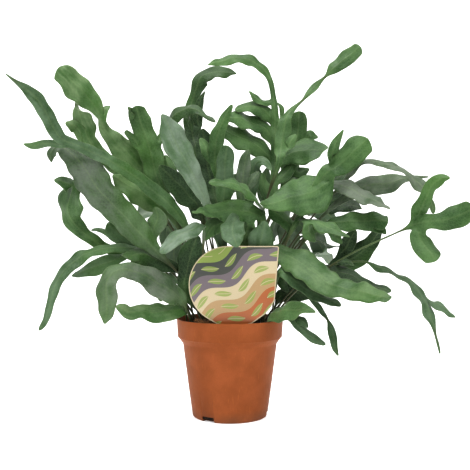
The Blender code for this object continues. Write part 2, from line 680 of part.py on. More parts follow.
def true_place(x, z, y):
    """The place at depth y that is seen at (x, z) on the pot's middle plane."""
    share = (VIEW_DISTANCE + y) / VIEW_DISTANCE
    return (VIEW_X + (x - VIEW_X) * share, y, VIEW_Z + (z - VIEW_Z) * share)


def through_three(start, middle, end, share):
    """The curve through three values at shares 0, 0.5 and 1."""
    return (
        start * (1 - share) * (1 - 2 * share)
        + middle * 4 * share * (1 - share)
        + end * share * (2 * share - 1)
    )


def smooth_line(points, spacing, places=None):
    """Points read along a Catmull-Rom curve through (x, y, z, width) points.

    places are the arc lengths to read; without them the curve is read at even steps of about spacing.
    """
    knots = [Vector(point) for point in points]
    knots = [2 * knots[0] - knots[1], *knots, 2 * knots[-1] - knots[-2]]
    lengths = knot_lengths(points)
    if places is None:
        steps = max(2, round(lengths[-1] / spacing))
        places = [lengths[-1] * i / steps for i in range(steps + 1)]
    read = []
    for place in places:
        span = 0
        while span < len(lengths) - 2 and place > lengths[span + 1]:
            span += 1
        t = (place - lengths[span]) / (lengths[span + 1] - lengths[span])
        before, first, second, after = knots[span : span + 4]
        read.append(
            0.5
            * (
                2 * first
                + (second - before) * t
                + (2 * before - 5 * first + 4 * second - after) * t * t
                + (3 * first - before - 3 * second + after) * t * t * t
            )
        )
    return read


def knot_lengths(points):
    """Running length of the chords between (x, y, z, width) points."""
    lengths = [0.0]
    for first, second in zip(points, points[1:]):
        lengths.append(lengths[-1] + (Vector(second[:3]) - Vector(first[:3])).length)
    return lengths


def facing(face):
    """The unit vector that a blade faces, from its turn off the front and its turn up."""
    turn, up = (math.radians(angle) for angle in face)
    return Vector((math.sin(turn) * math.cos(up), -math.cos(turn) * math.cos(up), math.sin(up)))


def stem_points(row, start):
    """The bare stem: down the hole, upright out of the soil and over to the blade's first point."""
    x, y = row["foot"]
    ground = soil_height(x, y)
    rise = start[2] - ground
    foot = Vector((x, y, ground))
    reach = Vector(start[:3]) - foot
    sideways, upwards = STEM_LIFT
    share, extra = STEM_LEAN
    lift = Vector((reach.x * sideways, reach.y * sideways, rise * upwards))
    lean = reach * share + Vector((0, 0, rise * extra))
    return [
        (x, y, ground - HOLE_DEPTH + 1, STEM_WIDTH),
        (x, y, ground + 0.5, STEM_WIDTH),
        (*(foot + lift), STEM_WIDTH),
        (*(foot + lean), STEM_WIDTH),
    ]


def spine_points(row):
    """The blade's (x, y, z, width) points in true places."""
    last = len(row["spine"]) - 1
    points = []
    for index, (x, z, width) in enumerate(row["spine"]):
        y = through_three(*row["depth"], index / last)
        points.append((*true_place(x, z, y), FULLNESS * width * (VIEW_DISTANCE + y) / VIEW_DISTANCE))
    return rounded_end(points)


def rounded_end(points):
    """The points, with a blunt last width carried on to a round end."""
    width = points[-1][3]
    if width < BLUNT_WIDTH:
        return points
    last, before = Vector(points[-1][:3]), Vector(points[-2][:3])
    ahead = (last - before).normalized() * width / 2
    return [*points, (*(last + ahead * 0.6), width * 0.8), (*(last + ahead), TIP_WIDTH)]


def lobe_points(root, extra, spots):
    """A lobe's true points, from its root on the midrib to its tip."""
    points = [root]
    for index, (x, z, width) in enumerate(spots, 1):
        y = root[1] + extra * (index / len(spots)) ** LOBE_SWEEP
        points.append((*true_place(x, z, y), FULLNESS * width * (VIEW_DISTANCE + y) / VIEW_DISTANCE))
    return rounded_end(points)


def ring_places(lengths, start, roots, rounded):
    """Arc lengths of a blade's rings: the stem's knots, three at each lobe's root, and steps between."""
    places = list(lengths[: start + 1]) + list(lengths[len(lengths) - rounded :])
    for index, half in roots:
        places += [lengths[index] - half, lengths[index], lengths[index] + half]
    places = sorted(set(places))
    kept = [places[0]]
    for place in places[1:]:
        gap = place - kept[-1]
        spacing = RING_SPACING if place > lengths[start] + 1 else STEM_RING_SPACING
        steps = max(1, math.ceil(gap / spacing - 0.25))
        kept += [kept[-1] + gap * (i + 1) / steps for i in range(steps)]
    return kept


def across_and_normal(tangent, face):
    """The blade's unit vectors across and out of its face, for a direction along it."""
    across = tangent.cross(face).normalized()
    return across, across.cross(tangent).normalized()


def add_vertex(form, place, thickness):
    """A vertex at a place in millimetres, with its thickness as a share of the stem's."""
    vertex = form.verts.new(place * MM)
    vertex[form.verts.layers.deform.verify()][0] = thickness / STEM_THICKNESS
    return vertex


def blade_rings(form, read, places, face, wave, phase, first=None):
    """Rings of three vertices (left, midrib, right) along a line, and the faces between them."""
    last = len(read) - 1
    rings = [first] if first else []
    for index in range(len(rings), last + 1):
        ahead, behind = read[min(last, index + 1)], read[max(0, index - 1)]
        tangent = Vector(ahead[:3]) - Vector(behind[:3])
        across, normal = across_and_normal(tangent.normalized(), face)
        centre = Vector(read[index][:3])
        seen = max(LEAST_SEEN, math.hypot(across.x, across.z))
        half = max(TIP_WIDTH, read[index][3]) / 2 / (seen if read[index][3] > STEM_LIKE_WIDTH else 1)
        if index == last:
            rings.append([add_vertex(form, centre, BLADE_THICKNESS)])
            continue
        flat = min(1.0, max(0.0, (half - FLAT_FROM) / (WAVED_FROM - FLAT_FROM)))
        lift = flat * wave * WAVE_HEIGHT * math.sin(places[index] / WAVE_LENGTH * math.tau + phase)
        droop = -DROOP * half * flat
        middle = STEM_THICKNESS if read[index][3] < STEM_LIKE_WIDTH else MIDRIB_THICKNESS
        rings.append([
            add_vertex(form, centre - across * half + normal * (droop + lift), BLADE_THICKNESS),
            add_vertex(form, centre, middle),
            add_vertex(form, centre + across * half + normal * (droop - lift), BLADE_THICKNESS),
        ])
    for one, two in zip(rings, rings[1:]):
        for side in (0, 1):
            if len(two) == 1:
                form.faces.new((one[side], one[side + 1], two[0]))
            else:
                form.faces.new((one[side], one[side + 1], two[side + 1]))
                form.faces.new((one[side], two[side + 1], two[side]))
    return rings


def frond_sheet(name, row):
    """The frond as an open surface of triangles, with each vertex's thickness as a weight."""
    form = bmesh.new()
    form.verts.layers.deform.verify()
    face = facing(row["face"])
    spine = spine_points(row)
    points = stem_points(row, spine[0]) + spine
    start = len(points) - len(spine)
    lengths = knot_lengths(points)
    roots = []
    for index, _, spots in row["lobes"]:
        half = min(LOBE_ROOT_MOST, max(LOBE_ROOT_LEAST, spots[0][2] * LOBE_ROOT_SHARE))
        roots.append((start + index, half))
    rounded = 3 if row["spine"][-1][2] * FULLNESS >= BLUNT_WIDTH else 1
    places = ring_places(lengths, start, roots, rounded)
    read = smooth_line(points, RING_SPACING, places)
    phase = sum(map(ord, name)) % 7
    rings = blade_rings(form, read, places, face, row["wave"], phase)
    for (index, half), (_, extra, spots) in zip(roots, row["lobes"]):
        middle = places.index(lengths[index])
        outline = lobe_points(points[index], extra, spots)
        way = Vector(outline[1][:3]) - Vector(points[index][:3])
        across, _ = across_and_normal(
            (Vector(read[middle + 1][:3]) - Vector(read[middle - 1][:3])).normalized(), face)
        side = 2 if way.dot(across) > 0 else 0
        edge = [rings[middle + step][side] for step in ((1, 0, -1) if side == 2 else (-1, 0, 1))]
        root = sum((vert.co for vert in edge), Vector()) / 3 / MM
        outline[0] = (*root, 2 * half)
        lobe_lengths = knot_lengths(outline)
        rounded = 3 if spots[-1][2] * FULLNESS >= BLUNT_WIDTH else 1
        lobe_places = ring_places(lobe_lengths, 0, (), rounded)
        lobe_read = smooth_line(outline, RING_SPACING, lobe_places)
        blade_rings(form, lobe_read, lobe_places, face, row["wave"], phase + 2, first=edge)
    return form


def make_frond(name, row, parts, finish):
    """One frond as a closed blade, thicker along its stem and midrib."""
    form = frond_sheet(name, row)
    bmesh.ops.recalc_face_normals(form, faces=form.faces)
    mesh = bpy.data.meshes.new(name)
    form.to_mesh(mesh)
    form.free()
    blade = add_object(name, mesh, parts, finish)
    blade.vertex_groups.new(name="thickness")
    shell = blade.modifiers.new("thickness", "SOLIDIFY")
    shell.thickness = STEM_THICKNESS * MM
    shell.vertex_group = "thickness"
    shell.offset = 0.0
    mesh.shade_smooth()
    return blade


def main():
    for old in list(bpy.data.objects):
        bpy.data.objects.remove(old, do_unlink=True)
    parts = bpy.data.collections.new("potted_blue_star_fern")
    cutters = bpy.data.collections.new("cutters")
    for made in (parts, cutters):
        bpy.context.scene.collection.children.link(made)
    make_pot(parts, cutters, material("terracotta", 0.5))
    make_soil(parts, cutters, material("soil", 0.95))
    make_rhizomes(parts, material("rhizome", 0.9))
    make_label(parts, material("label", 0.4))
    leaf = material("leaf", 0.5)
    for name, row in FRONDS.items():
        make_frond(name, row, parts, leaf)


main()
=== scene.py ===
"""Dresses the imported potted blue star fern: fine fronds, pot, soil, rhizomes, label and a plain stage.

Tables are in millimetres as in the part's source, and the scene is in metres. +Z is up and the front
faces -Y.
"""

import math
import random

import bmesh
import bpy
from mathutils import Matrix, Vector, noise


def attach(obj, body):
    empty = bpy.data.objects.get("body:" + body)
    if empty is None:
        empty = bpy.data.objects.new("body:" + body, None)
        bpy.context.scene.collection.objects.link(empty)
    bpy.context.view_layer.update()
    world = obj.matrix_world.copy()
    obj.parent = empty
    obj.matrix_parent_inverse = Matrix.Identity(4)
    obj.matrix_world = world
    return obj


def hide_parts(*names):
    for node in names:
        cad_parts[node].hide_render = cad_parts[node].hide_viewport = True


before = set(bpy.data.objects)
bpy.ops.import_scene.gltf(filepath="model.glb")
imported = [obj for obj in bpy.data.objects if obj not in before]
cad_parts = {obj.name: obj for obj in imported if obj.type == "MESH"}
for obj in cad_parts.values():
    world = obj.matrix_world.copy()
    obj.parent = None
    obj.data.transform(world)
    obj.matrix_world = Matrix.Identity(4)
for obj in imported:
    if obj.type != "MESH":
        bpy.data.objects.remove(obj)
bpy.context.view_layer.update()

bl_info = {
    "name": "Potted blue star fern",
    "version": (1, 0, 0),
    "blender": (4, 5, 0),
    "location": "3D View > Sidebar > Fern",
    "description": "Builds the fine fronds, pot, soil, rhizomes, label and stage over the packed model",
    "category": "Add Mesh",
}

MM = 0.001

# The pot's profile and the soil's surface, as in the part's source
POT_HEIGHT = 110.0
RIM_RADIUS = 60.0
RIM_FOOT_RADIUS = 58.8
RIM_FOOT_HEIGHT = 89.0
SHOULDER_HEIGHT = 82.5
BODY_TOP_RADIUS = 53.0
BASE_RADIUS = 42.3
BASE_ROUNDING = 3.0
WALL = 1.4
FLOOR = 2.0
DRAIN_AZIMUTHS = (-124.5, -4.5, 115.5)
DRAIN_WIDTH = 15.5
DRAIN_HEIGHT = 6.0
SOIL_EDGE_HEIGHT = 101.0
SOIL_CROWN = 4.0

# Fine form of the pot: points of its floor and wall, its roundings and the eased step under the rim
POT_SEGMENTS = 192
FLOOR_RING = 20
LOWER_WALL = 30
UPPER_WALL = 100
FLOOR_ROUNDING = 2
STEP_EASE = 0.3
RIM_FOOT_EASE = 0.6
RIM_BULGE = ((0.25, 5), (0.5, 8))
STEP_ROUNDING = 0.7
STEP_ROUNDING_RISE = 0.9
STEP_FOOT = (1.6, 1.0)
SHOULDER_EASE = ((1.2, 1.3), (0.3, 0.3), (-0.1, -1.0))
DRAIN_REACH = (7, 5)
DRAIN_BELOW = 1
DRAIN_BEVEL = 0.9

# Fine form of the soil's top
SKIN_RINGS = 40
SKIN_SIDES = 150
SKIN_RISE = 0.9
SKIN_SKIRT = 1.5
SKIN_GAP = 0.5
LUMP_SIZE = 9
LUMP_ROUGHNESS = (0.8, 2.1, 5)
LUMP_PLACE = 3.0
CRUMB_SEED = 5
CRUMB_SPREAD = 0.97
CRUMB_SIZES = (0.35, 1.0)
CRUMB_SUNK = 0.2
CRUMB_WIDTHS = (0.55, 0.95)
CRUMB_HEIGHTS = (0.4, 0.8)
CRUMB_TILT = 0.6
CRUMB_KNOBS = 900
CRUMB_KNOB_SHARE = 0.22

# Label, as in the part's source
LABEL_Y = -46.0
LABEL_CENTRE = (-2.0, 150.0)
LABEL_RADIUS = 42.0
LABEL_CORNER = (53.0, 192.0)
LABEL_RIGHT_FOOT = (48.3, 134.0)
STAKE_WIDTH = 12.0
STAKE_FOOT = 64.0

# Fine form of the label
CORNER_ROUNDING = 3
CORNER_STEPS = (0, 0.25, 0.5, 0.75, 1)
ROUND_SIDE_ANGLES = range(90, 241, 5)
NECK_BELOW_RIM = 6
STAKE_POINT = 8
LABEL_FOOT = ((24, POT_HEIGHT - 1), (38, 119), (44.5, 127))
LABEL_EDGE = 0.12
FACING_FRONT = -0.9

# Rhizomes: radius and the route of the middle over the soil
RHIZOMES = {
    "rhizome_left": (4.2, ((-7, -38, 106.6), (-19, -39, 107.2), (-30, -38, 108.4), (-38, -36, 111.5))),
    "rhizome_right": (3.8, ((20, 42, 105.6), (30, 41, 105.4), (40, 34, 105.2), (48, 23, 105))),
}

# Fine form of the rhizomes and their scales
RHIZOME_STEPS = 22
RHIZOME_SIDES = 14
RHIZOME_TAPER = (0.5, 0.42, 0.15)
KNOB_SIZE = 5
KNOB_SHARE = 0.12
SCALE_ANGLE = 0.35
SCALE_SUNK = 0.93
SCALE_WAYS = (1, 1, -0.6)
SCALE_STRAY = 0.7
SCALE_WIDTHS = (0.35, 0.6)
SCALE_LENGTHS = (0.6, 1.1)
SCALE_STEPS = ((0.0, 0.7, 0.0), (0.35, 1.0, 0.05), (0.7, 0.6, 0.2))
SCALE_TIP_RISE = 0.42

# Stems and blades: widths in the table are as seen, times the fullness
HOLE_DEPTH = 10.0
STEM_WIDTH = 2.2
STEM_THICKNESS = 2.0
STEM_LIFT = (0.3, 0.45)
STEM_LEAN = (0.68, 0.1)
MIDRIB_THICKNESS = 1.2
STEM_LIKE_WIDTH = 4.0
BLADE_LIKE_WIDTH = 8.0
TIP_WIDTH = 0.6
BLUNT_WIDTH = 4.0
FULLNESS = 1.16
LEAST_SEEN = 0.6
OUTWARD_TURN = 0.16
UPWARD_TURN = 36.0
DROOP = 0.12
WAVE_HEIGHT = 1.3
WAVE_LENGTH = 46.0
WAVE_PHASES = 7
FLAT_FROM = 2.0
WAVED_FROM = 6.0
LOBE_ROOT_SHARE = 0.46
LOBE_ROOT_LEAST = 2.5
LOBE_ROOT_MOST = 8.0
LOBE_SWEEP = 1.5
LOBE_GAP_SHARE = 0.47
LOBE_TIP_GAP = 2
LOBE_PHASE = 2
HOLE_CLEARANCE = 1
SOIL_CLEARANCE = 0.5
ROUND_END = (0.6, 0.8)

# Fine form of the blades, in millimetres along the blade or across it, and as shares where there is no unit
JOIN_REACH = 9
TIP_FLATTENS = (3, 16)
BROWN_FADES = (30, 2)
THIN_NECK = (2.5, 5)
NECK_BROWN = 0.5
SWELL = 0.06
SWELL_LENGTH = 21
SWELL_SHIFT = 1.3
DROOP_POWER = 1.5
WAVE_POWER = 1.3
RUFFLE_SHIFT = 2
BUCKLE_SIZE = 15
LEAST_STEM_EDGE = 0.3
EDGE_FADES = (0.2, 2.2)
LEAST_TIP = 0.5
AT_MARGIN = 0.99

# Vertices across a blade as shares of its half width; the two beside the midrib keep about 1 mm from it
ACROSS = (-1.0, -0.62, None, 0.0, None, 0.62, 1.0)
MIDRIB_HALF = 1.0
BESIDE_MIDRIB = (0.1, 0.32)
STEM_STEP = 9.0
BLADE_STEP = 4.6
TIP_STEP = 2.2
TIP_REACH = 9.0
STEP_SLACK = 0.3
SAME_PLACE = 1e-6

# The point from which the frond table is drawn, and the camera's place
VIEW_X = 5.7
VIEW_DISTANCE = 850.0
VIEW_Z = 203.7
FOCAL_LENGTH = 57.52
SENSOR_WIDTH = 36.0

# Studio, in metres: the paper lies on the floor, bends up behind the plant and ends above it
CAMERA_REACH = 20.0
PAPER_FRONT = -1.6
BEND_START = 1.1
BEND_RADIUS = 0.9
BEND_STEPS = 16
PAPER_TOP = 2.6
PAPER_HALF_WIDTH = 3.0
LAMP_TARGET = (0, 0, 0.2)
LAMPS = {
    "key": ((0.6, -1.4, 1.3), 1.0),
    "fill": ((-1.3, -1.1, 0.7), 1.2),
    "top": ((-0.2, -0.2, 1.7), 1.2),
}

# What the vertices of a blade tell its material, all but the stem's share in millimetres
TOLD = ("rib", "margin", "along", "stem")

# Levels between which most of a noise lies
NOISE_LOW = 0.3
NOISE_HIGH = 0.7

# Leaf finish: pattern sizes in millimetres, levels between which a pattern sets in, and shares of colour
LEAF_TONE_SIZE = 70
LEAF_TONE_LEVELS = (0.52, 0.72)
RIB_LEVELS = (1.1, 0.2)
MARGIN_LEVELS = (0.75, 0.1)
BLOOM_SIZE = 26
BLOOM_LEVELS = (0.55, 0.95)
STREAK_WIDTH = 5.0
STREAK_DRAWN_OUT = 0.14
STREAK_SHARE = 0.5
STREAK_TURNS = 40.0
VEIN_SPACING = 5.0
VEIN_SLANT = -0.85
VEIN_STRAY_SIZE = 9
VEIN_STRAY = 5.0
VEIN_LEVELS = (0.86, 1.0)
NET_SIZE = 3.0
NET_WIDTH = 0.13
SKIN_GRAIN = 2.2
YELLOWING_SHARE = 0.5
VEIN_SHARE = 0.2
RIB_SHARES = {"upper": 0.13, "under": 0.35}
MARGIN_SHARE = 0.2
MOTTLE = (0.92, 1.08)
BLOOM_ROUGHNESS = 0.14
RIB_RELIEF = 0.6
VEIN_RELIEF = 0.35
GRAIN_RELIEF = 0.25
LEAF_RELIEF = 0.35

# Pot finish
CLOUD_SIZE = 22
CLOUD_LEVELS = (0.35, 0.65)
PLASTIC_GRAIN = 0.9
SCUFF_WIDTH = 1.6
SCUFF_DRAWN_OUT = 0.08
SCUFF_LEVELS = (0.62, 0.74)
SCUFF_SHARE = 0.3
SCUFF_GLOSS_LEVELS = (0.3, 0.75)
SCUFF_ROUGHNESS = 0.18
PLASTIC_GRAIN_RELIEF = 0.35
DUST_HEIGHT = 14
DUST_LEVELS = (0.04, 0.45)
DUST_SHARE = 0.55
PLASTIC_TONE = (0.95, 1.05)
MOULD_LINE = (0.9, 0.4)
PLASTIC_RELIEF = 0.12

# Soil and rhizome finish
PEAT_GRAIN = {"pressed_peat": 2.5, "loose_peat": 1.2}
PEAT_TINT_SIZE = 4
PEAT_TINT_LEVELS = (0.38, 0.64)
PEAT_GAP_LEVELS = (0.2, 0.75)
PEAT_GAP_TONE = (1.1, 0.55)
PEAT_RELIEF = 1.0
FIBRE_SIZE = 1.1
FIBRE_LEVELS = (0.35, 0.65)
FIBRE_RELIEF = 0.4

# Label print
RIBBON_SLANT = 28
RIBBON_WIDTH = 15.0
RIBBON_WAVE = 60
RIBBON_SWAY = 5.0
OVAL_CELL = 24.0
OVAL_HALF_LENGTH = 9.0
OVAL_HALF_WIDTH = 3.4
OVAL_LEVELS = (-0.05, 0.15)
OVAL_SHARE = 0.85
OVAL_VEIN_LEVELS = (0.5, 0.2)
BORDER_LEVELS = (0.5, 0.6)
SPECKLE_SIZE = 0.8
SPECKLE_TONE = (0.93, 1.05)

# Paper's faint tooth
TOOTH_SIZE = 3
TOOTH_TONE = (0.995, 1.0)


def frond(foot, depth, spine, lobes=(), face=None, wave=1.0):
    """One row of the frond table.

    foot: (x, y) where the stem enters the soil. depth: true y at the start, middle and end of the spine.
    spine: (x, z, width) along the midrib, from the first point above the bare stem to the tip.
    lobes: (spine point, extra depth at the lobe's tip, its own (x, z, width) points).
    face: the way the blade faces, as degrees turned from the front and degrees turned up. Without it the
    blade turns a little outwards and up.
    """
    middle = spine[len(spine) // 2][0]
    face = face or (middle * OUTWARD_TURN, UPWARD_TURN)
    return {"foot": foot, "depth": depth, "spine": spine, "lobes": lobes, "face": face, "wave": wave}


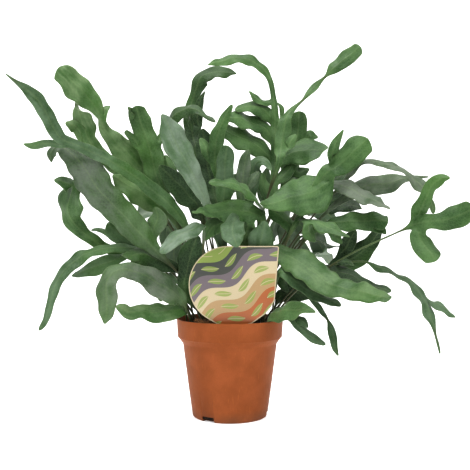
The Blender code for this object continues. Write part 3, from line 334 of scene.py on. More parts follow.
FRONDS = {
    # Left side, from the highest reach down
    "frond_far_left": frond(
        (-16, -10), (-19, -78, -151),
        ((-54, 220, 9), (-70, 240, 14), (-86, 253, 15), (-103, 267, 13), (-121, 279, 13), (-138, 289, 11),
         (-155, 297, 12), (-171, 304.5, 10), (-186, 310, 11), (-195, 317, 13), (-202, 330, 14),
         (-210, 344, 14), (-218, 357, 14), (-229, 368, 10), (-242, 377, 4), (-255, 387, 1)),
        ((8, -8, ((-205, 308, 7), (-222, 304.5, 7), (-235, 307, 1))),),
        face=(25, -10), wave=0.5,
    ),
    "frond_broad_left": frond(
        (-24, -14), (-36, -54, -56),
        ((-82, 184, 10), (-95, 198, 20), (-108, 212, 26), (-121, 226.5, 27), (-135, 240.5, 28),
         (-148, 254, 30),
         (-158, 269, 34), (-167, 283, 29), (-180, 296, 21), (-192, 303, 14), (-202, 297, 10), (-202, 285, 1)),
        ((1, 7, ((-86, 212, 16), (-82, 223, 20), (-84, 233, 6))),),
    ),
    "frond_left_oval": frond(
        (-12, 6), (9, -5, -32),
        ((-70, 236, 8), (-84, 258, 20), (-98, 277, 27), (-113, 293, 27), (-129, 309, 18), (-142.5, 324, 11),
         (-146, 337, 9), (-152, 348.5, 15), (-162, 361, 23), (-174.5, 373, 26), (-186.5, 385, 20)),
        ((6, 6, ((-142, 346, 8), (-135, 350, 2))),),
    ),
    "frond_left_bright": frond(
        (-18, 12), (40, 44, 22),
        ((-84, 236, 6), (-118, 270, 10), (-148, 296, 14), (-159, 311, 15), (-165, 325, 22), (-169, 338, 20),
         (-173, 348, 10), (-175, 355, 2)),
        ((3, -8, ((-172, 325, 12), (-184, 330, 5))),),
    ),
    "frond_left_low": frond(
        (-34, -10), (-7, -33, -45),
        ((-112, 178, 5), (-137, 188, 8), (-152, 197, 11), (-166, 207, 13), (-178, 219, 18), (-182, 231, 26),
         (-182, 244, 31), (-178, 258, 17), (-188, 264, 12), (-200, 266, 2)),
        ((7, 6, ((-170, 262, 9), (-166, 268, 3))),),
    ),
    "frond_left_round": frond(
        (-28, 2), (-11, -19, -24),
        ((-84, 178, 5), (-107, 192, 12), (-122, 203, 17), (-132, 211, 17)),
        ((2, 6, ((-140, 206, 5), (-150, 210, 4), (-158, 209, 2))),),
    ),
    "frond_left_hidden": frond(
        (-20, -2), (-5, -16, -24),
        ((-66, 225, 8), (-84, 241, 20), (-103, 254, 26), (-119, 262, 20), (-131, 270, 5)),
    ),
    "frond_left_droop": frond(
        (-40, -14), (-16, -59, -78),
        ((-92, 184, 6), (-116, 188, 8), (-138, 188, 9), (-160, 184, 11), (-178, 172, 13), (-192, 156, 13),
         (-200, 139, 9), (-205, 120, 8), (-210, 104, 7), (-217, 95, 2)),
        ((1, -16, ((-124, 177, 9), (-139, 172.5, 16), (-155, 166.5, 15), (-168, 160.5, 11),
         (-180, 157, 1))),),
        face=(-10, 35),
    ),
    "frond_left_grey_droop": frond(
        (-42, -27), (-43, -89, -113),
        ((-54, 130, 15), (-68, 141, 23), (-84, 151, 23), (-101, 160, 18), (-120, 165, 14), (-134, 160, 16),
         (-140, 147, 21), (-139, 129, 20), (-140, 114, 14), (-142, 102, 1)),
        face=(-8, 30),
    ),
    "frond_lowest_left": frond(
        (-48, -12), (-27, -57, -68),
        ((-50, 120, 9), (-59, 119, 15), (-72, 117, 18), (-87, 115.5, 18), (-102, 118, 13),
         (-114, 116, 15), (-123, 121, 8),
         (-130, 123, 3)),
        face=(0, 30), wave=1.5,
    ),
    "frond_left_dark": frond(
        (-40, -3), (-19, -40, -59),
        ((-58, 165, 8), (-74, 171, 15), (-90, 179, 18), (-105, 181, 17), (-116, 179, 12), (-122, 181, 3)),
        ((3, 8, ((-110, 174, 5), (-113, 171, 3))),),
    ),
    "frond_left_strip": frond(
        (-30, -22), (-59, -78, -84),
        ((-30, 215, 7), (-44, 209, 14), (-59, 202, 16), (-70, 192, 15), (-78, 184, 4)),
        face=(0, 50),
    ),
    "frond_behind_label_left": frond(
        (-28, -8), (-30, -35, -32),
        ((-43, 124, 3), (-49, 136, 11), (-52, 149, 15), (-49, 162, 17), (-46, 176, 26), (-42, 189, 25),
         (-38, 200, 8)),
    ),
    # Middle, left to right
    "frond_centre_left_dark": frond(
        (-16, 2), (-8, -19, -24),
        ((-34, 232, 8), (-45, 246, 20), (-58, 260, 23), (-71, 273, 15), (-81, 283, 2)),
    ),
    "frond_upright_folded": frond(
        (-10, -4), (-11, -5, -8),
        ((-76, 254, 8), (-84, 273, 20), (-88, 290, 23), (-92, 306, 21), (-97, 320, 20), (-102, 333, 21),
         (-104, 341, 17)),
        ((5, -12, ((-112, 344, 7), (-115, 349, 2))), (3, -4, ((-107, 310, 10), (-117, 320, 5))),
         (3, 8, ((-82, 308, 12), (-75, 320, 4))), (0, 10, ((-68, 266, 12), (-69, 280, 14), (-73, 292, 5)))),
    ),
    "frond_centre_pale": frond(
        (-10, -20), (-36, -56, -70),
        ((-27, 240, 8), (-34, 256, 15), (-43, 274, 19), (-52, 291, 23), (-61, 308, 26), (-68, 323, 22),
         (-73, 333, 12), (-78, 341, 1.5)),
        wave=0.6,
    ),
    "frond_dark_arch": frond(
        (-6, 10), (35, 18, 0),
        ((-52, 285, 6), (-66, 310, 11), (-68, 328, 13), (-60, 340, 14), (-47, 346, 12), (-36, 344, 9),
         (-28, 338, 4), (-22, 335, 5), (-16, 331, 2)),
        ((4, 10, ((-45, 332, 6), (-43, 321, 3))),),
    ),
    "frond_high_dark": frond(
        (2, 14), (66, 79, 57),
        ((-38, 300, 11), (-43, 322, 15), (-46, 343, 11), (-42, 358, 11), (-37, 370, 13), (-32, 382.5, 17),
         (-18, 388.5, 15), (-4, 388, 10), (8, 386, 1)),
        ((1, -8, ((-37, 335, 10), (-36, 347, 9), (-33, 357, 6), (-28, 367, 1))),),
    ),
    "frond_centre_dark": frond(
        (-2, 4), (4, 18, 22),
        ((-15, 236, 8), (-19, 256, 16), (-25, 280, 21), (-27, 302, 21), (-30, 317, 11), (-31, 325, 2)),
        ((1, -6, ((-33, 262, 13), (-44, 270, 4))), (2, 8, ((-8, 290, 12), (0, 300, 3)))),
    ),
    "frond_centre_green": frond(
        (-3, -6), (-11, -16, -16),
        ((-14, 268, 6), (-17, 290, 13), (-16, 308, 14), (-11, 325, 12), (-4, 340, 10), (3, 352, 2)),
        ((1, 6, ((-27, 302, 12), (-34, 314, 3))),),
    ),
    "frond_tall_centre": frond(
        (8, 8), (26, 57, 40),
        ((51, 238, 5), (50, 266, 7), (51, 288, 8), (51, 314, 8), (51, 337, 8), (50, 354, 6), (48, 368, 5),
         (45, 380, 6), (37.5, 392, 9), (24, 402, 10), (6, 403.5, 12), (-11, 400, 9), (-26, 396, 1)),
        ((5, -14, ((40, 353, 7), (31, 357, 9), (21, 367, 1.5))),
         (4, -18, ((36, 346, 16), (21, 349, 14), (8, 345, 5))),
         (3, -26, ((38, 326, 17), (24, 332, 19), (10, 335, 19), (-1, 336, 10))),
         (2, -20, ((38, 298, 17), (25, 308, 21), (10, 315, 22), (-4, 321, 16))),
         (2, -22, ((68, 295, 19), (84, 299, 27), (97, 299, 25), (106, 299, 14), (110, 301, 2))),
         (1, 8, ((60, 270, 12), (68, 280, 11), (74, 290, 3))),
         (0, 8, ((42, 252, 12), (37, 264, 11), (36, 275, 3)))),
    ),
    "frond_centre_short": frond(
        (0, -14), (-21, -33, -41),
        ((-7, 239, 12), (-6, 257, 19), (-6, 276, 17), (-5, 290, 17), (-4, 298, 14)),
    ),
    "frond_centre_grey": frond(
        (6, -8), (-13, -14, -12),
        ((12, 238, 7), (13, 256, 11), (15, 272, 13), (17, 287, 12), (21, 301, 3)),
        ((1, 4, ((25, 266, 10), (33, 276, 3))),),
    ),
    "frond_centre_curved": frond(
        (12, -2), (4, 0, -14),
        ((20, 232, 7), (22, 250, 14), (24, 268, 17), (29, 284, 16), (40, 286, 9), (47, 276, 2)),
    ),
    "frond_arch_over_label": frond(
        (14, -18), (-10, -56, -73),
        ((37, 229, 8), (29, 244, 13), (15, 257, 14), (-3, 263, 12), (-25, 263, 3)),
        face=(0, 40),
    ),
    "frond_rim_arch": frond(
        (8, -26), (-31, -41, -90),
        ((36, 221, 10), (23, 229, 19), (5, 232, 24), (-13, 230, 24), (-28, 230, 13), (-43, 229, 3)),
        ((1, 9, ((20, 210, 18), (17, 197, 16), (20, 186, 5))), (3, 1, ((-20, 213, 18), (-27, 200, 5)))),
    ),
    "frond_behind_label_mid": frond(
        (-4, -22), (-27, -28, -28),
        ((-7, 190, 7), (-11, 204, 13), (-13, 217, 14), (-11, 228, 5)),
    ),
    "frond_over_label": frond(
        (2, -34), (-49, -86, -97),
        ((8, 224, 7), (4, 217, 21), (3, 206, 24), (6, 197, 15), (9, 189, 3)),
        face=(0, 10),
    ),
    "frond_behind_label_right": frond(
        (20, -30), (-38, -39, -39),
        ((32, 178, 12), (34, 192, 25), (37, 206, 22), (39, 216, 8)),
        face=(0, 10),
    ),
    # Right side, from the top down
    "frond_tall_right": frond(
        (14, 4), (-3, 26, 22),
        ((55, 284, 6), (58, 303, 13), (61, 322, 15), (64, 337, 10), (72, 347, 5), (83, 357, 2.5),
         (94, 370, 8),
         (108, 383, 2.5), (118, 393, 12), (130, 403, 17), (142, 412, 14)),
        ((3, 4, ((59, 347, 5), (53, 354, 1))), (1, 6, ((68, 308, 11), (75, 318, 3)))),
    ),
    "frond_right_squared": frond(
        (16, 16), (62, 70, 66),
        ((60, 256, 6), (66, 278, 15), (72, 298, 19), (76, 314, 20), (78, 330, 17), (78, 336, 15)),
        ((3, 4, ((90, 317, 12), (98, 315, 4))), (1, 8, ((78, 274, 14), (88, 278, 4)))),
    ),
    "frond_right_big": frond(
        (24, -6), (-14, -19, -24),
        ((72, 212, 5), (92, 246, 7), (106, 270, 14), (120, 280.5, 18), (133, 291, 24), (146, 303.5, 25)),
        ((0, 4, ((60, 222, 14), (50, 230, 12), (43, 240, 3))),
         (2, -30, ((100, 256, 37), (88, 250, 41), (70, 246, 31), (52, 240, 18), (39, 238, 9), (34, 239, 2))),
         (3, -2, ((115, 294, 12), (120, 308, 9), (129, 324, 1)))),
        wave=0.7,
    ),
    "frond_right_dark": frond(
        (22, 10), (31, 35, 22),
        ((78, 228, 6), (98, 240, 16), (116, 242, 23), (133, 239, 17), (150, 233, 1)),
        ((1, 12, ((112, 260, 12), (126, 271, 15), (143, 279, 4))),),
    ),
    "frond_right_pale": frond(
        (28, 4), (18, -22, -81),
        ((82, 240, 5), (102, 256, 8), (120, 261, 12), (138, 255, 18), (155, 246, 19), (168, 239.5, 12),
         (182, 233, 1)),
        face=(8, 35),
    ),
    "frond_right_strap": frond(
        (30, -2), (0, -11, -19),
        ((112, 232, 4), (140, 253, 13), (157, 260, 19), (172, 261, 20), (186, 264, 15), (200, 267.5, 7),
         (214, 269, 4), (226, 269.5, 1)),
        face=(8, 30),
    ),
    "frond_right_chain": frond(
        (26, -22), (4, -36, -65),
        ((122, 256, 3), (136, 273, 5), (147, 284.5, 6), (156, 287.5, 7), (166, 287, 11), (174, 284, 5),
         (183, 282, 8), (191, 279, 10), (198, 275, 5), (205, 270, 11), (213, 263, 11), (220, 254, 9),
         (225, 246, 5), (229, 238, 8), (230, 227, 3)),
        face=(8, 40), wave=1.8,
    ),
    "frond_right_end": frond(
        (42, -22), (-59, -97, -113),
        ((140, 184, 1.8), (170, 198, 1.8), (199, 211, 3), (212, 217, 16), (228, 219, 14), (243, 220.5, 19),
         (256, 224.5, 24), (267, 229.5, 20)),
        ((3, -10, ((216, 234, 17), (223, 249, 13), (230, 262, 14), (241, 268, 10), (250, 268, 1))),
         (3, -14, ((213, 203, 20), (220, 191, 24), (227.5, 181, 18)))),
        face=(12, 15), wave=1.6,
    ),
    "frond_right_level": frond(
        (36, -4), (-11, -27, -40),
        ((96, 211, 7), (114, 216, 12), (130, 219, 16), (148, 220, 18), (162, 220, 18), (171, 219, 16)),
        ((1, 4, ((118, 204, 12), (126, 195, 4))), (4, -6, ((170, 211, 9), (177, 204, 2)))),
        face=(0, 30),
    ),
    "frond_right_small": frond(
        (34, -22), (-22, -50, -72),
        ((76, 219, 6), (94, 219, 12), (110, 213, 15), (125, 206, 8), (136, 201, 1)),
        ((1, 4, ((88, 206, 13), (96, 197, 4))),),
    ),
    "frond_right_deep": frond(
        (38, 6), (40, 44, 35),
        ((98, 160, 6), (116, 165, 14), (132, 174, 20), (147, 183, 21), (158, 193, 15), (166, 204, 11),
         (171, 213, 4)),
        ((2, 6, ((132, 190, 15), (137, 201, 13), (143, 210, 3))),),
    ),
    "frond_right_edge": frond(
        (36, 16), (53, 75, 88),
        ((80, 202, 3), (97, 198, 5), (112, 192, 6), (130, 190, 3)),
        face=(0, 65),
    ),
    "frond_right_light": frond(
        (37, -31), (-23, -80, -132),
        ((48, 186, 14), (63, 181, 22), (80, 173, 30), (97, 160, 30), (112, 148, 25), (128, 144, 21),
         (146, 140, 20), (163, 136, 17), (177, 132, 11)),
        face=(8, 25),
    ),
    "frond_right_low_dark": frond(
        (44, -8), (-36, -59, -78),
        ((96, 163, 8), (116, 163, 16), (135, 158, 15), (151, 150, 11), (166, 145, 9), (180, 140, 5)),
        ((1, 6, ((124, 173, 7), (134, 173, 5), (141, 169, 1))),),
    ),
    "frond_right_finger": frond(
        (46, -16), (-46, -62, -78),
        ((56, 163, 8), (73, 152, 12), (90, 141.5, 12), (105, 132.5, 12), (117, 127.5, 9), (126, 122.5, 3)),
    ),
    "frond_behind_label_far": frond(
        (46, -2), (-6, -9, -11),
        ((56, 134, 12), (67, 137, 20), (80, 138, 17), (94, 133, 2)),
        ((1, -6, ((62, 148, 16), (60, 158, 13), (61, 167, 4))),),
    ),
    "frond_over_rim": frond(
        (43, -28), (-48, -80, -102),
        ((46, 113, 14), (58, 117, 21), (71, 119.5, 19), (84, 120, 11), (98, 116, 1)),
        face=(0, 35),
    ),
    "frond_rim_droop": frond(
        (50, -11), (-30, -46, -57),
        ((60, 115, 6), (71, 109, 8), (78, 100, 8), (88, 91, 8), (99, 84, 7), (109, 79, 3)),
        ((1, -6, ((80, 108, 10), (87, 100, 4))),),
    ),
    "frond_low_twisted": frond(
        (48, 8), (-5, -35, -59),
        ((84, 137, 3), (97, 126, 6), (105, 116, 6), (111, 107, 2.5), (115, 97, 9), (117, 85, 9), (119, 75, 6),
         (123, 66, 1)),
    ),
    "frond_right_slender": frond(
        (42, 14), (-5, -32, -68),
        ((118, 170, 2.5), (148, 174, 2.5), (160, 171, 4), (169, 166.5, 8), (180, 163, 5), (190, 158.5, 8),
         (199, 154, 5), (206, 149, 7), (213, 140, 12), (220, 128, 12), (226, 113, 10), (230, 102, 6),
         (232.5, 91, 3), (235.5, 80, 3.5), (238, 68, 1)),
        ((9, -8, ((231, 126, 7), (240, 121, 9), (248, 114.5, 8), (256, 110, 1))),),
    ),
    # Far side of the crown
    "frond_back_left": frond(
        (-22, 22), (60, 122, 182),
        ((-44, 196, 8), (-60, 214, 18), (-76, 226, 22), (-90, 230, 20), (-102, 224, 12), (-110, 214, 2)),
        ((2, 14, ((-70, 204, 17), (-66, 186, 16), (-68, 172, 4))),
         (3, -16, ((-96, 246, 16), (-108, 260, 15), (-122, 268, 4))),
         (1, -8, ((-72, 238, 16), (-80, 256, 15), (-84, 272, 4)))),
        face=(200, 40),
    ),
    "frond_back_low_left": frond(
        (-34, 24), (62, 120, 172),
        ((-58, 150, 8), (-72, 160, 18), (-86, 164, 20), (-98, 160, 14), (-106, 150, 2)),
        ((2, 10, ((-79, 144, 16), (-78, 130, 4))), (2, -8, ((-92, 180, 16), (-106, 190, 4))),
         (1, -16, ((-64, 180, 20), (-62, 198, 18), (-70, 212, 4)))),
        face=(210, 45),
    ),
    "frond_back_middle": frond(
        (-8, 32), (72, 128, 178),
        ((-12, 200, 10), (-16, 226, 22), (-18, 252, 26), (-22, 278, 22), (-26, 296, 8)),
        ((2, -12, ((-36, 256, 18), (-50, 268, 4))), (2, 12, ((4, 262, 18), (16, 274, 4))),
         (1, 10, ((4, 232, 18), (18, 240, 4))), (1, -10, ((-36, 232, 16), (-48, 240, 4)))),
        face=(180, 35),
    ),
    "frond_back_right": frond(
        (20, 30), (68, 128, 184),
        ((44, 200, 10), (58, 226, 22), (72, 248, 24), (88, 260, 18), (102, 262, 4)),
        ((2, 12, ((90, 236, 18), (106, 230, 16), (118, 222, 4))), (1, 8, ((76, 216, 18), (92, 204, 4))),
         (1, -10, ((46, 244, 18), (40, 262, 16), (42, 278, 4))), (2, -10, ((70, 272, 17), (76, 292, 4)))),
        face=(165, 40),
    ),
    "frond_back_low_right": frond(
        (34, 26), (62, 116, 168),
        ((60, 160, 8), (78, 176, 18), (94, 184, 20), (108, 180, 14), (118, 168, 2)),
        ((2, 10, ((92, 164, 16), (98, 146, 4))), (2, -8, ((98, 204, 17), (108, 220, 4))),
         (1, -26, ((70, 196, 20), (64, 212, 16), (66, 224, 4)))),
        face=(150, 45),
    ),
    "frond_back_rim": frond(
        (6, 42), (76, 116, 148),
        ((6, 140, 8), (12, 152, 18), (22, 156, 20), (32, 150, 14), (38, 138, 3)),
        ((1, 10, ((26, 138, 15), (36, 126, 4))), (1, -8, ((-2, 168, 15), (-8, 182, 4)))),
        face=(180, 55),
    ),
}

# Looks of the fronds: upper side, its patches and the underside. Fronds not named here are blue-green.
LOOKS = {
    "blue_green": ("2E4927", "53684F", "5D6E58"),
    "pale": ("455D40", "728071", "748173"),
    # A greyer copy of the pale look, made darker by painted shade
    "dusty": ("3C4E36", "60685B", "5F695B"),
    "grey_green": ("36482F", "565F53", "565F52"),
    "bright": ("3C5C2E", "6A7F59", "728068"),
    "lush": ("345228", "5A704B", "627359"),
    "fresh": ("2A481F", "4B673C", "566B4D"),
    # dark: painted shade, a darker copy of the green for fronds lying in the shade of those in front
    "dark": ("142A0F", "2F4529", "46593F"),
}
LOOK_OF = {
    "pale": ("centre_pale", "left_strip"),
    # Fronds given the pale look darkened with painted shade
    "dusty": ("left_grey_droop", "right_pale", "right_chain", "right_strap", "centre_grey"),
    "grey_green": ("broad_left",),
    "bright": ("left_bright", "left_hidden", "left_oval", "lowest_left"),
    "lush": ("right_light",),
    "fresh": (
        "right_big", "right_end", "arch_over_label", "rim_arch", "over_rim", "centre_green", "left_low",
        "upright_folded", "tall_centre", "right_squared", "right_level", "right_small", "tall_right",
    ),
    # Fronds whose colour carries painted shade, as they lie behind and under others
    "dark": (
        "left_dark", "dark_arch", "high_dark", "centre_dark", "centre_left_dark", "right_dark",
        "right_low_dark", "right_deep", "right_edge", "behind_label_left", "behind_label_far",
    ),
}


def linear(code):
    """An sRGB hex colour, such as 5C7A58, as linear red, green and blue."""
    channels = [int(code[i : i + 2], 16) / 255 for i in (0, 2, 4)]
    return tuple(c / 12.92 if c <= 0.04045 else ((c + 0.055) / 1.055) ** 2.4 for c in channels)


def rgba(colour):
    """A linear colour with full alpha, for a node's socket."""
    return (*colour[:3], 1.0)


def per_metre(size):
    """The texture scale that repeats about once in a size in millimetres."""
    return 1.0 / (size * MM)


def add_node(tree, kind, links=None, out=0, **settings):
    """Add a shader node with its settings, values and links, and return one of its outputs."""
    node = tree.nodes.new("ShaderNode" + kind)
    for key, value in settings.items():
        setattr(node, key, value)
    for key, value in (links or {}).items():
        if isinstance(value, bpy.types.NodeSocket):
            tree.links.new(value, node.inputs[key])
        else:
            node.inputs[key].default_value = value
    return node.outputs[out]


def new_material(name, links, **values):
    """A Principled material, with constant values on the shader's own sockets."""
    made = bpy.data.materials.new(name)
    made.use_nodes = True
    shader = made.node_tree.nodes["Principled BSDF"]
    for key, value in values.items():
        shader.inputs[key.replace("_", " ")].default_value = value
    for key, socket in links(made.node_tree).items():
        made.node_tree.links.new(socket, shader.inputs[key])
    return made


def add_piece(name, mesh, materials, node=None):
    """A mesh as a piece that rides with the frame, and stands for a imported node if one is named."""
    made = bpy.data.objects.new(name, mesh)
    bpy.context.scene.collection.objects.link(made)
    for finish in materials:
        mesh.materials.append(finish)
    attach(made, "root")
    if node:
        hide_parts(node)
    return made


# Fronds


def soil_height(x, y):
    """Height of the soil's surface: a low crown that falls to the edge."""
    share = min(1.0, math.hypot(x, y) / inner_radius(SOIL_EDGE_HEIGHT))
    return SOIL_EDGE_HEIGHT + SOIL_CROWN * (1 - share * share)


def inner_radius(height):
    """The pot's inner radius at a height above its foot."""
    if height >= RIM_FOOT_HEIGHT:
        rise = (height - RIM_FOOT_HEIGHT) / (POT_HEIGHT - RIM_FOOT_HEIGHT)
        return RIM_FOOT_RADIUS + (RIM_RADIUS - RIM_FOOT_RADIUS) * rise - WALL
    if height >= SHOULDER_HEIGHT:
        rise = (height - SHOULDER_HEIGHT) / (RIM_FOOT_HEIGHT - SHOULDER_HEIGHT)
        return BODY_TOP_RADIUS + (RIM_FOOT_RADIUS - BODY_TOP_RADIUS) * rise - WALL
    return BASE_RADIUS + (BODY_TOP_RADIUS - BASE_RADIUS) * height / SHOULDER_HEIGHT - WALL


def true_place(x, z, y):
    """The place at depth y that is seen at (x, z) on the pot's middle plane."""
    share = (VIEW_DISTANCE + y) / VIEW_DISTANCE
    return (VIEW_X + (x - VIEW_X) * share, y, VIEW_Z + (z - VIEW_Z) * share)


def through_three(start, middle, end, share):
    """The curve through three values at shares 0, 0.5 and 1."""
    return (
        start * (1 - share) * (1 - 2 * share)
        + middle * 4 * share * (1 - share)
        + end * share * (2 * share - 1)
    )


def knot_lengths(points):
    """Running length of the chords between (x, y, z, width) points."""
    lengths = [0.0]
    for first, second in zip(points, points[1:]):
        lengths.append(lengths[-1] + (Vector(second[:3]) - Vector(first[:3])).length)
    return lengths


def smooth_line(points, places):
    """(x, y, z, width) points read along a Catmull-Rom curve at arc lengths."""
    knots = [Vector(point) for point in points]
    knots = [2 * knots[0] - knots[1], *knots, 2 * knots[-1] - knots[-2]]
    lengths = knot_lengths(points)
    read = []
    for place in places:
        span = 0
        while span < len(lengths) - 2 and place > lengths[span + 1]:
            span += 1
        t = (place - lengths[span]) / (lengths[span + 1] - lengths[span])
        before, first, second, after = knots[span : span + 4]
        read.append(
            0.5
            * (
                2 * first
                + (second - before) * t
                + (2 * before - 5 * first + 4 * second - after) * t * t
                + (3 * first - before - 3 * second + after) * t * t * t
            )
        )
    return read


def facing(face):
    """The unit vector that a blade faces, from its turn off the front and its turn up."""
    turn, up = (math.radians(angle) for angle in face)
    return Vector((math.sin(turn) * math.cos(up), -math.cos(turn) * math.cos(up), math.sin(up)))


def stem_points(row, start):
    """The bare stem: down the hole, upright out of the soil and over to the blade's first point."""
    x, y = row["foot"]
    ground = soil_height(x, y)
    rise = start[2] - ground
    foot = Vector((x, y, ground))
    reach = Vector(start[:3]) - foot
    sideways, upwards = STEM_LIFT
    share, extra = STEM_LEAN
    lift = Vector((reach.x * sideways, reach.y * sideways, rise * upwards))
    lean = reach * share + Vector((0, 0, rise * extra))
    return [
        (x, y, ground - HOLE_DEPTH + HOLE_CLEARANCE, STEM_WIDTH),
        (x, y, ground + SOIL_CLEARANCE, STEM_WIDTH),
        (*(foot + lift), STEM_WIDTH),
        (*(foot + lean), STEM_WIDTH),
    ]


def spine_points(row):
    """The blade's (x, y, z, width) points in true places."""
    last = len(row["spine"]) - 1
    points = []
    for index, (x, z, width) in enumerate(row["spine"]):
        y = through_three(*row["depth"], index / last)
        points.append((*true_place(x, z, y), FULLNESS * width * (VIEW_DISTANCE + y) / VIEW_DISTANCE))
    return rounded_end(points)


def rounded_end(points):
    """The points, with a blunt last width carried on to a round end."""
    width = points[-1][3]
    if width < BLUNT_WIDTH:
        return points
    last, before = Vector(points[-1][:3]), Vector(points[-2][:3])
    ahead = (last - before).normalized() * width / 2
    reach, share = ROUND_END
    return [*points, (*(last + ahead * reach), width * share), (*(last + ahead), TIP_WIDTH)]


def lobe_points(root, extra, spots):
    """A lobe's true points, from its root on the midrib to its tip."""
    points = [root]
    for index, (x, z, width) in enumerate(spots, 1):
        y = root[1] + extra * (index / len(spots)) ** LOBE_SWEEP
        points.append((*true_place(x, z, y), FULLNESS * width * (VIEW_DISTANCE + y) / VIEW_DISTANCE))
    return rounded_end(points)


def across_and_normal(tangent, face):
    """The blade's unit vectors across and out of its face, for a direction along it."""
    across = tangent.cross(face).normalized()
    return across, across.cross(tangent).normalized()


def ramp(value, low, high):
    """A smooth rise from 0 at low to 1 at high."""
    share = min(1.0, max(0.0, (value - low) / (high - low)))
    return share * share * (3 - 2 * share)


def shares_across(half):
    """Shares of the half width for one ring of vertices."""
    least, most = BESIDE_MIDRIB
    near = min(most, max(least, MIDRIB_HALF / half))
    middle = len(ACROSS) // 2
    return [
        share if share is not None else near * (-1 if column < middle else 1)
        for column, share in enumerate(ACROSS)
    ]


def ring_places(start, end, roots):
    """Arc lengths of the rings: wide steps on the bare stem, seven at each lobe's root, small at the tip."""
    fixed = {0.0, start, end}
    for middle, half in roots:
        fixed |= {middle + half * share for share in shares_across(half)}
    fixed = sorted(place for place in fixed if 0 <= place <= end)
    places = fixed[:1]
    for place in fixed[1:]:
        while place - places[-1] > SAME_PLACE:
            here = places[-1]
            step = STEM_STEP if here < start - 1 else BLADE_STEP
            if end - here <= TIP_REACH + TIP_STEP:
                step = TIP_STEP
            steps = max(1, math.ceil((place - here) / step - STEP_SLACK))
            places.append(place if steps == 1 else here + (place - here) / steps)
    return places


def blade_rings(form, read, places, row, style, phase, stem_until, first=None, roots=()):
    """Rings of seven vertices along a line and the faces between them, with what each vertex tells."""
    sheet = facing(row["face"])
    last = len(read) - 1
    end = places[-1]
    rings = []
    told = {}
    thicknesses = form.verts.layers.deform.active
    for index in range(last + 1):
        place = places[index]
        ahead, behind = read[min(last, index + 1)], read[max(0, index - 1)]
        along = (Vector(ahead[:3]) - Vector(behind[:3])).normalized()
        across, normal = across_and_normal(along, sheet)
        centre = Vector(read[index][:3])
        width = max(TIP_WIDTH, read[index][3])
        seen = max(LEAST_SEEN, math.hypot(across.x, across.z))
        half = width / 2 / (1 + (seen - 1) * ramp(width, STEM_LIKE_WIDTH - 1, STEM_LIKE_WIDTH + 1))
        flat = min(1.0, max(0.0, (half - FLAT_FROM) / (WAVED_FROM - FLAT_FROM)))
        if first:
            flat *= ramp(place, 0, JOIN_REACH)
        bare = 1.0 if place < stem_until else 1 - ramp(width, STEM_LIKE_WIDTH, BLADE_LIKE_WIDTH)
        if place > stem_until:
            bare *= ramp(end - place, *TIP_FLATTENS)
        thick = MIDRIB_THICKNESS + (STEM_THICKNESS - MIDRIB_THICKNESS) * bare
        brown = 1 - ramp(place, stem_until - BROWN_FADES[0], stem_until - BROWN_FADES[1])
        brown = max(brown, NECK_BROWN * bare * (1 - ramp(width, *THIN_NECK)))
        if first and index == 0:
            rings.append(first)
            for vertex, share in zip(first, shares_across(half)):
                told[vertex] = (share * half, half * (1 - abs(share)), place, 0.0)
            continue
        if index == last:
            tip = form.verts.new(centre * MM)
            tip[thicknesses][0] = LEAST_TIP / STEM_THICKNESS
            rings.append([tip])
            told[tip] = (0.0, 0.0, place, brown)
            continue
        lift = flat * row["wave"] * WAVE_HEIGHT * math.sin(place / WAVE_LENGTH * math.tau + phase)
        ring = []
        for share in shares_across(half):
            side = 1 if share > 0 else -1
            size = abs(share)
            swell = 1 + SWELL * flat * math.sin(
                place / SWELL_LENGTH * math.tau + phase + side * SWELL_SHIFT
            )
            out = side * size * half * swell
            height = flat * -DROOP * half * size**DROOP_POWER + lift * side * size**WAVE_POWER
            ruffle = math.sin(place / style["ruffle_length"] * math.tau + side * RUFFLE_SHIFT)
            height += flat * size**2 * style["ruffle"] * ruffle
            at = centre + across * out
            height += flat * style["buckle"] * noise.noise(at / BUCKLE_SIZE + Vector((phase, 0, 0)))
            vertex = form.verts.new((at + normal * height) * MM)
            round_stem = max(LEAST_STEM_EDGE, thick * math.sqrt(max(0.0, 1 - size * size)))
            beside = 1 - ramp(size * half, *EDGE_FADES)
            thin_blade = style["edge"] + (thick - style["edge"]) * beside
            thickness = round_stem * bare + thin_blade * (1 - bare)
            vertex[thicknesses][0] = thickness / STEM_THICKNESS
            ring.append(vertex)
            margin = half * (1 - size)
            for middle, root_half, way in roots:
                if way == side and size > AT_MARGIN and abs(place - middle) < root_half:
                    margin = root_half - abs(place - middle)
            told[vertex] = (share * half, margin, place, brown)
        rings.append(ring)
    layers = [form.loops.layers.float[name] for name in TOLD]
    for one, two in zip(rings, rings[1:]):
        for side in range(len(ACROSS) - 1):
            if len(two) == 1:
                corners = (one[side], one[side + 1], two[0])
            else:
                corners = (one[side], one[side + 1], two[side + 1], two[side])
            new = form.faces.new(corners)
            new.smooth = True
            for loop in new.loops:
                for layer, value in zip(layers, told[loop.vert]):
                    loop[layer] = value
    return rings


def lobe_halves(row, start, lengths):
    """Half the length that each lobe's root takes of the midrib, kept clear of the next root and the tip."""
    halves = {}
    for index, _, spots in row["lobes"]:
        half = min(LOBE_ROOT_MOST, max(LOBE_ROOT_LEAST, spots[0][2] * LOBE_ROOT_SHARE))
        halves[index] = min(half, halves.get(index, half))
    for index in halves:
        for other in halves:
            if other != index:
                gap = abs(lengths[start + other] - lengths[start + index])
                halves[index] = min(halves[index], gap * LOBE_GAP_SHARE)
        halves[index] = min(halves[index], lengths[-1] - lengths[start + index] - LOBE_TIP_GAP)
    return halves


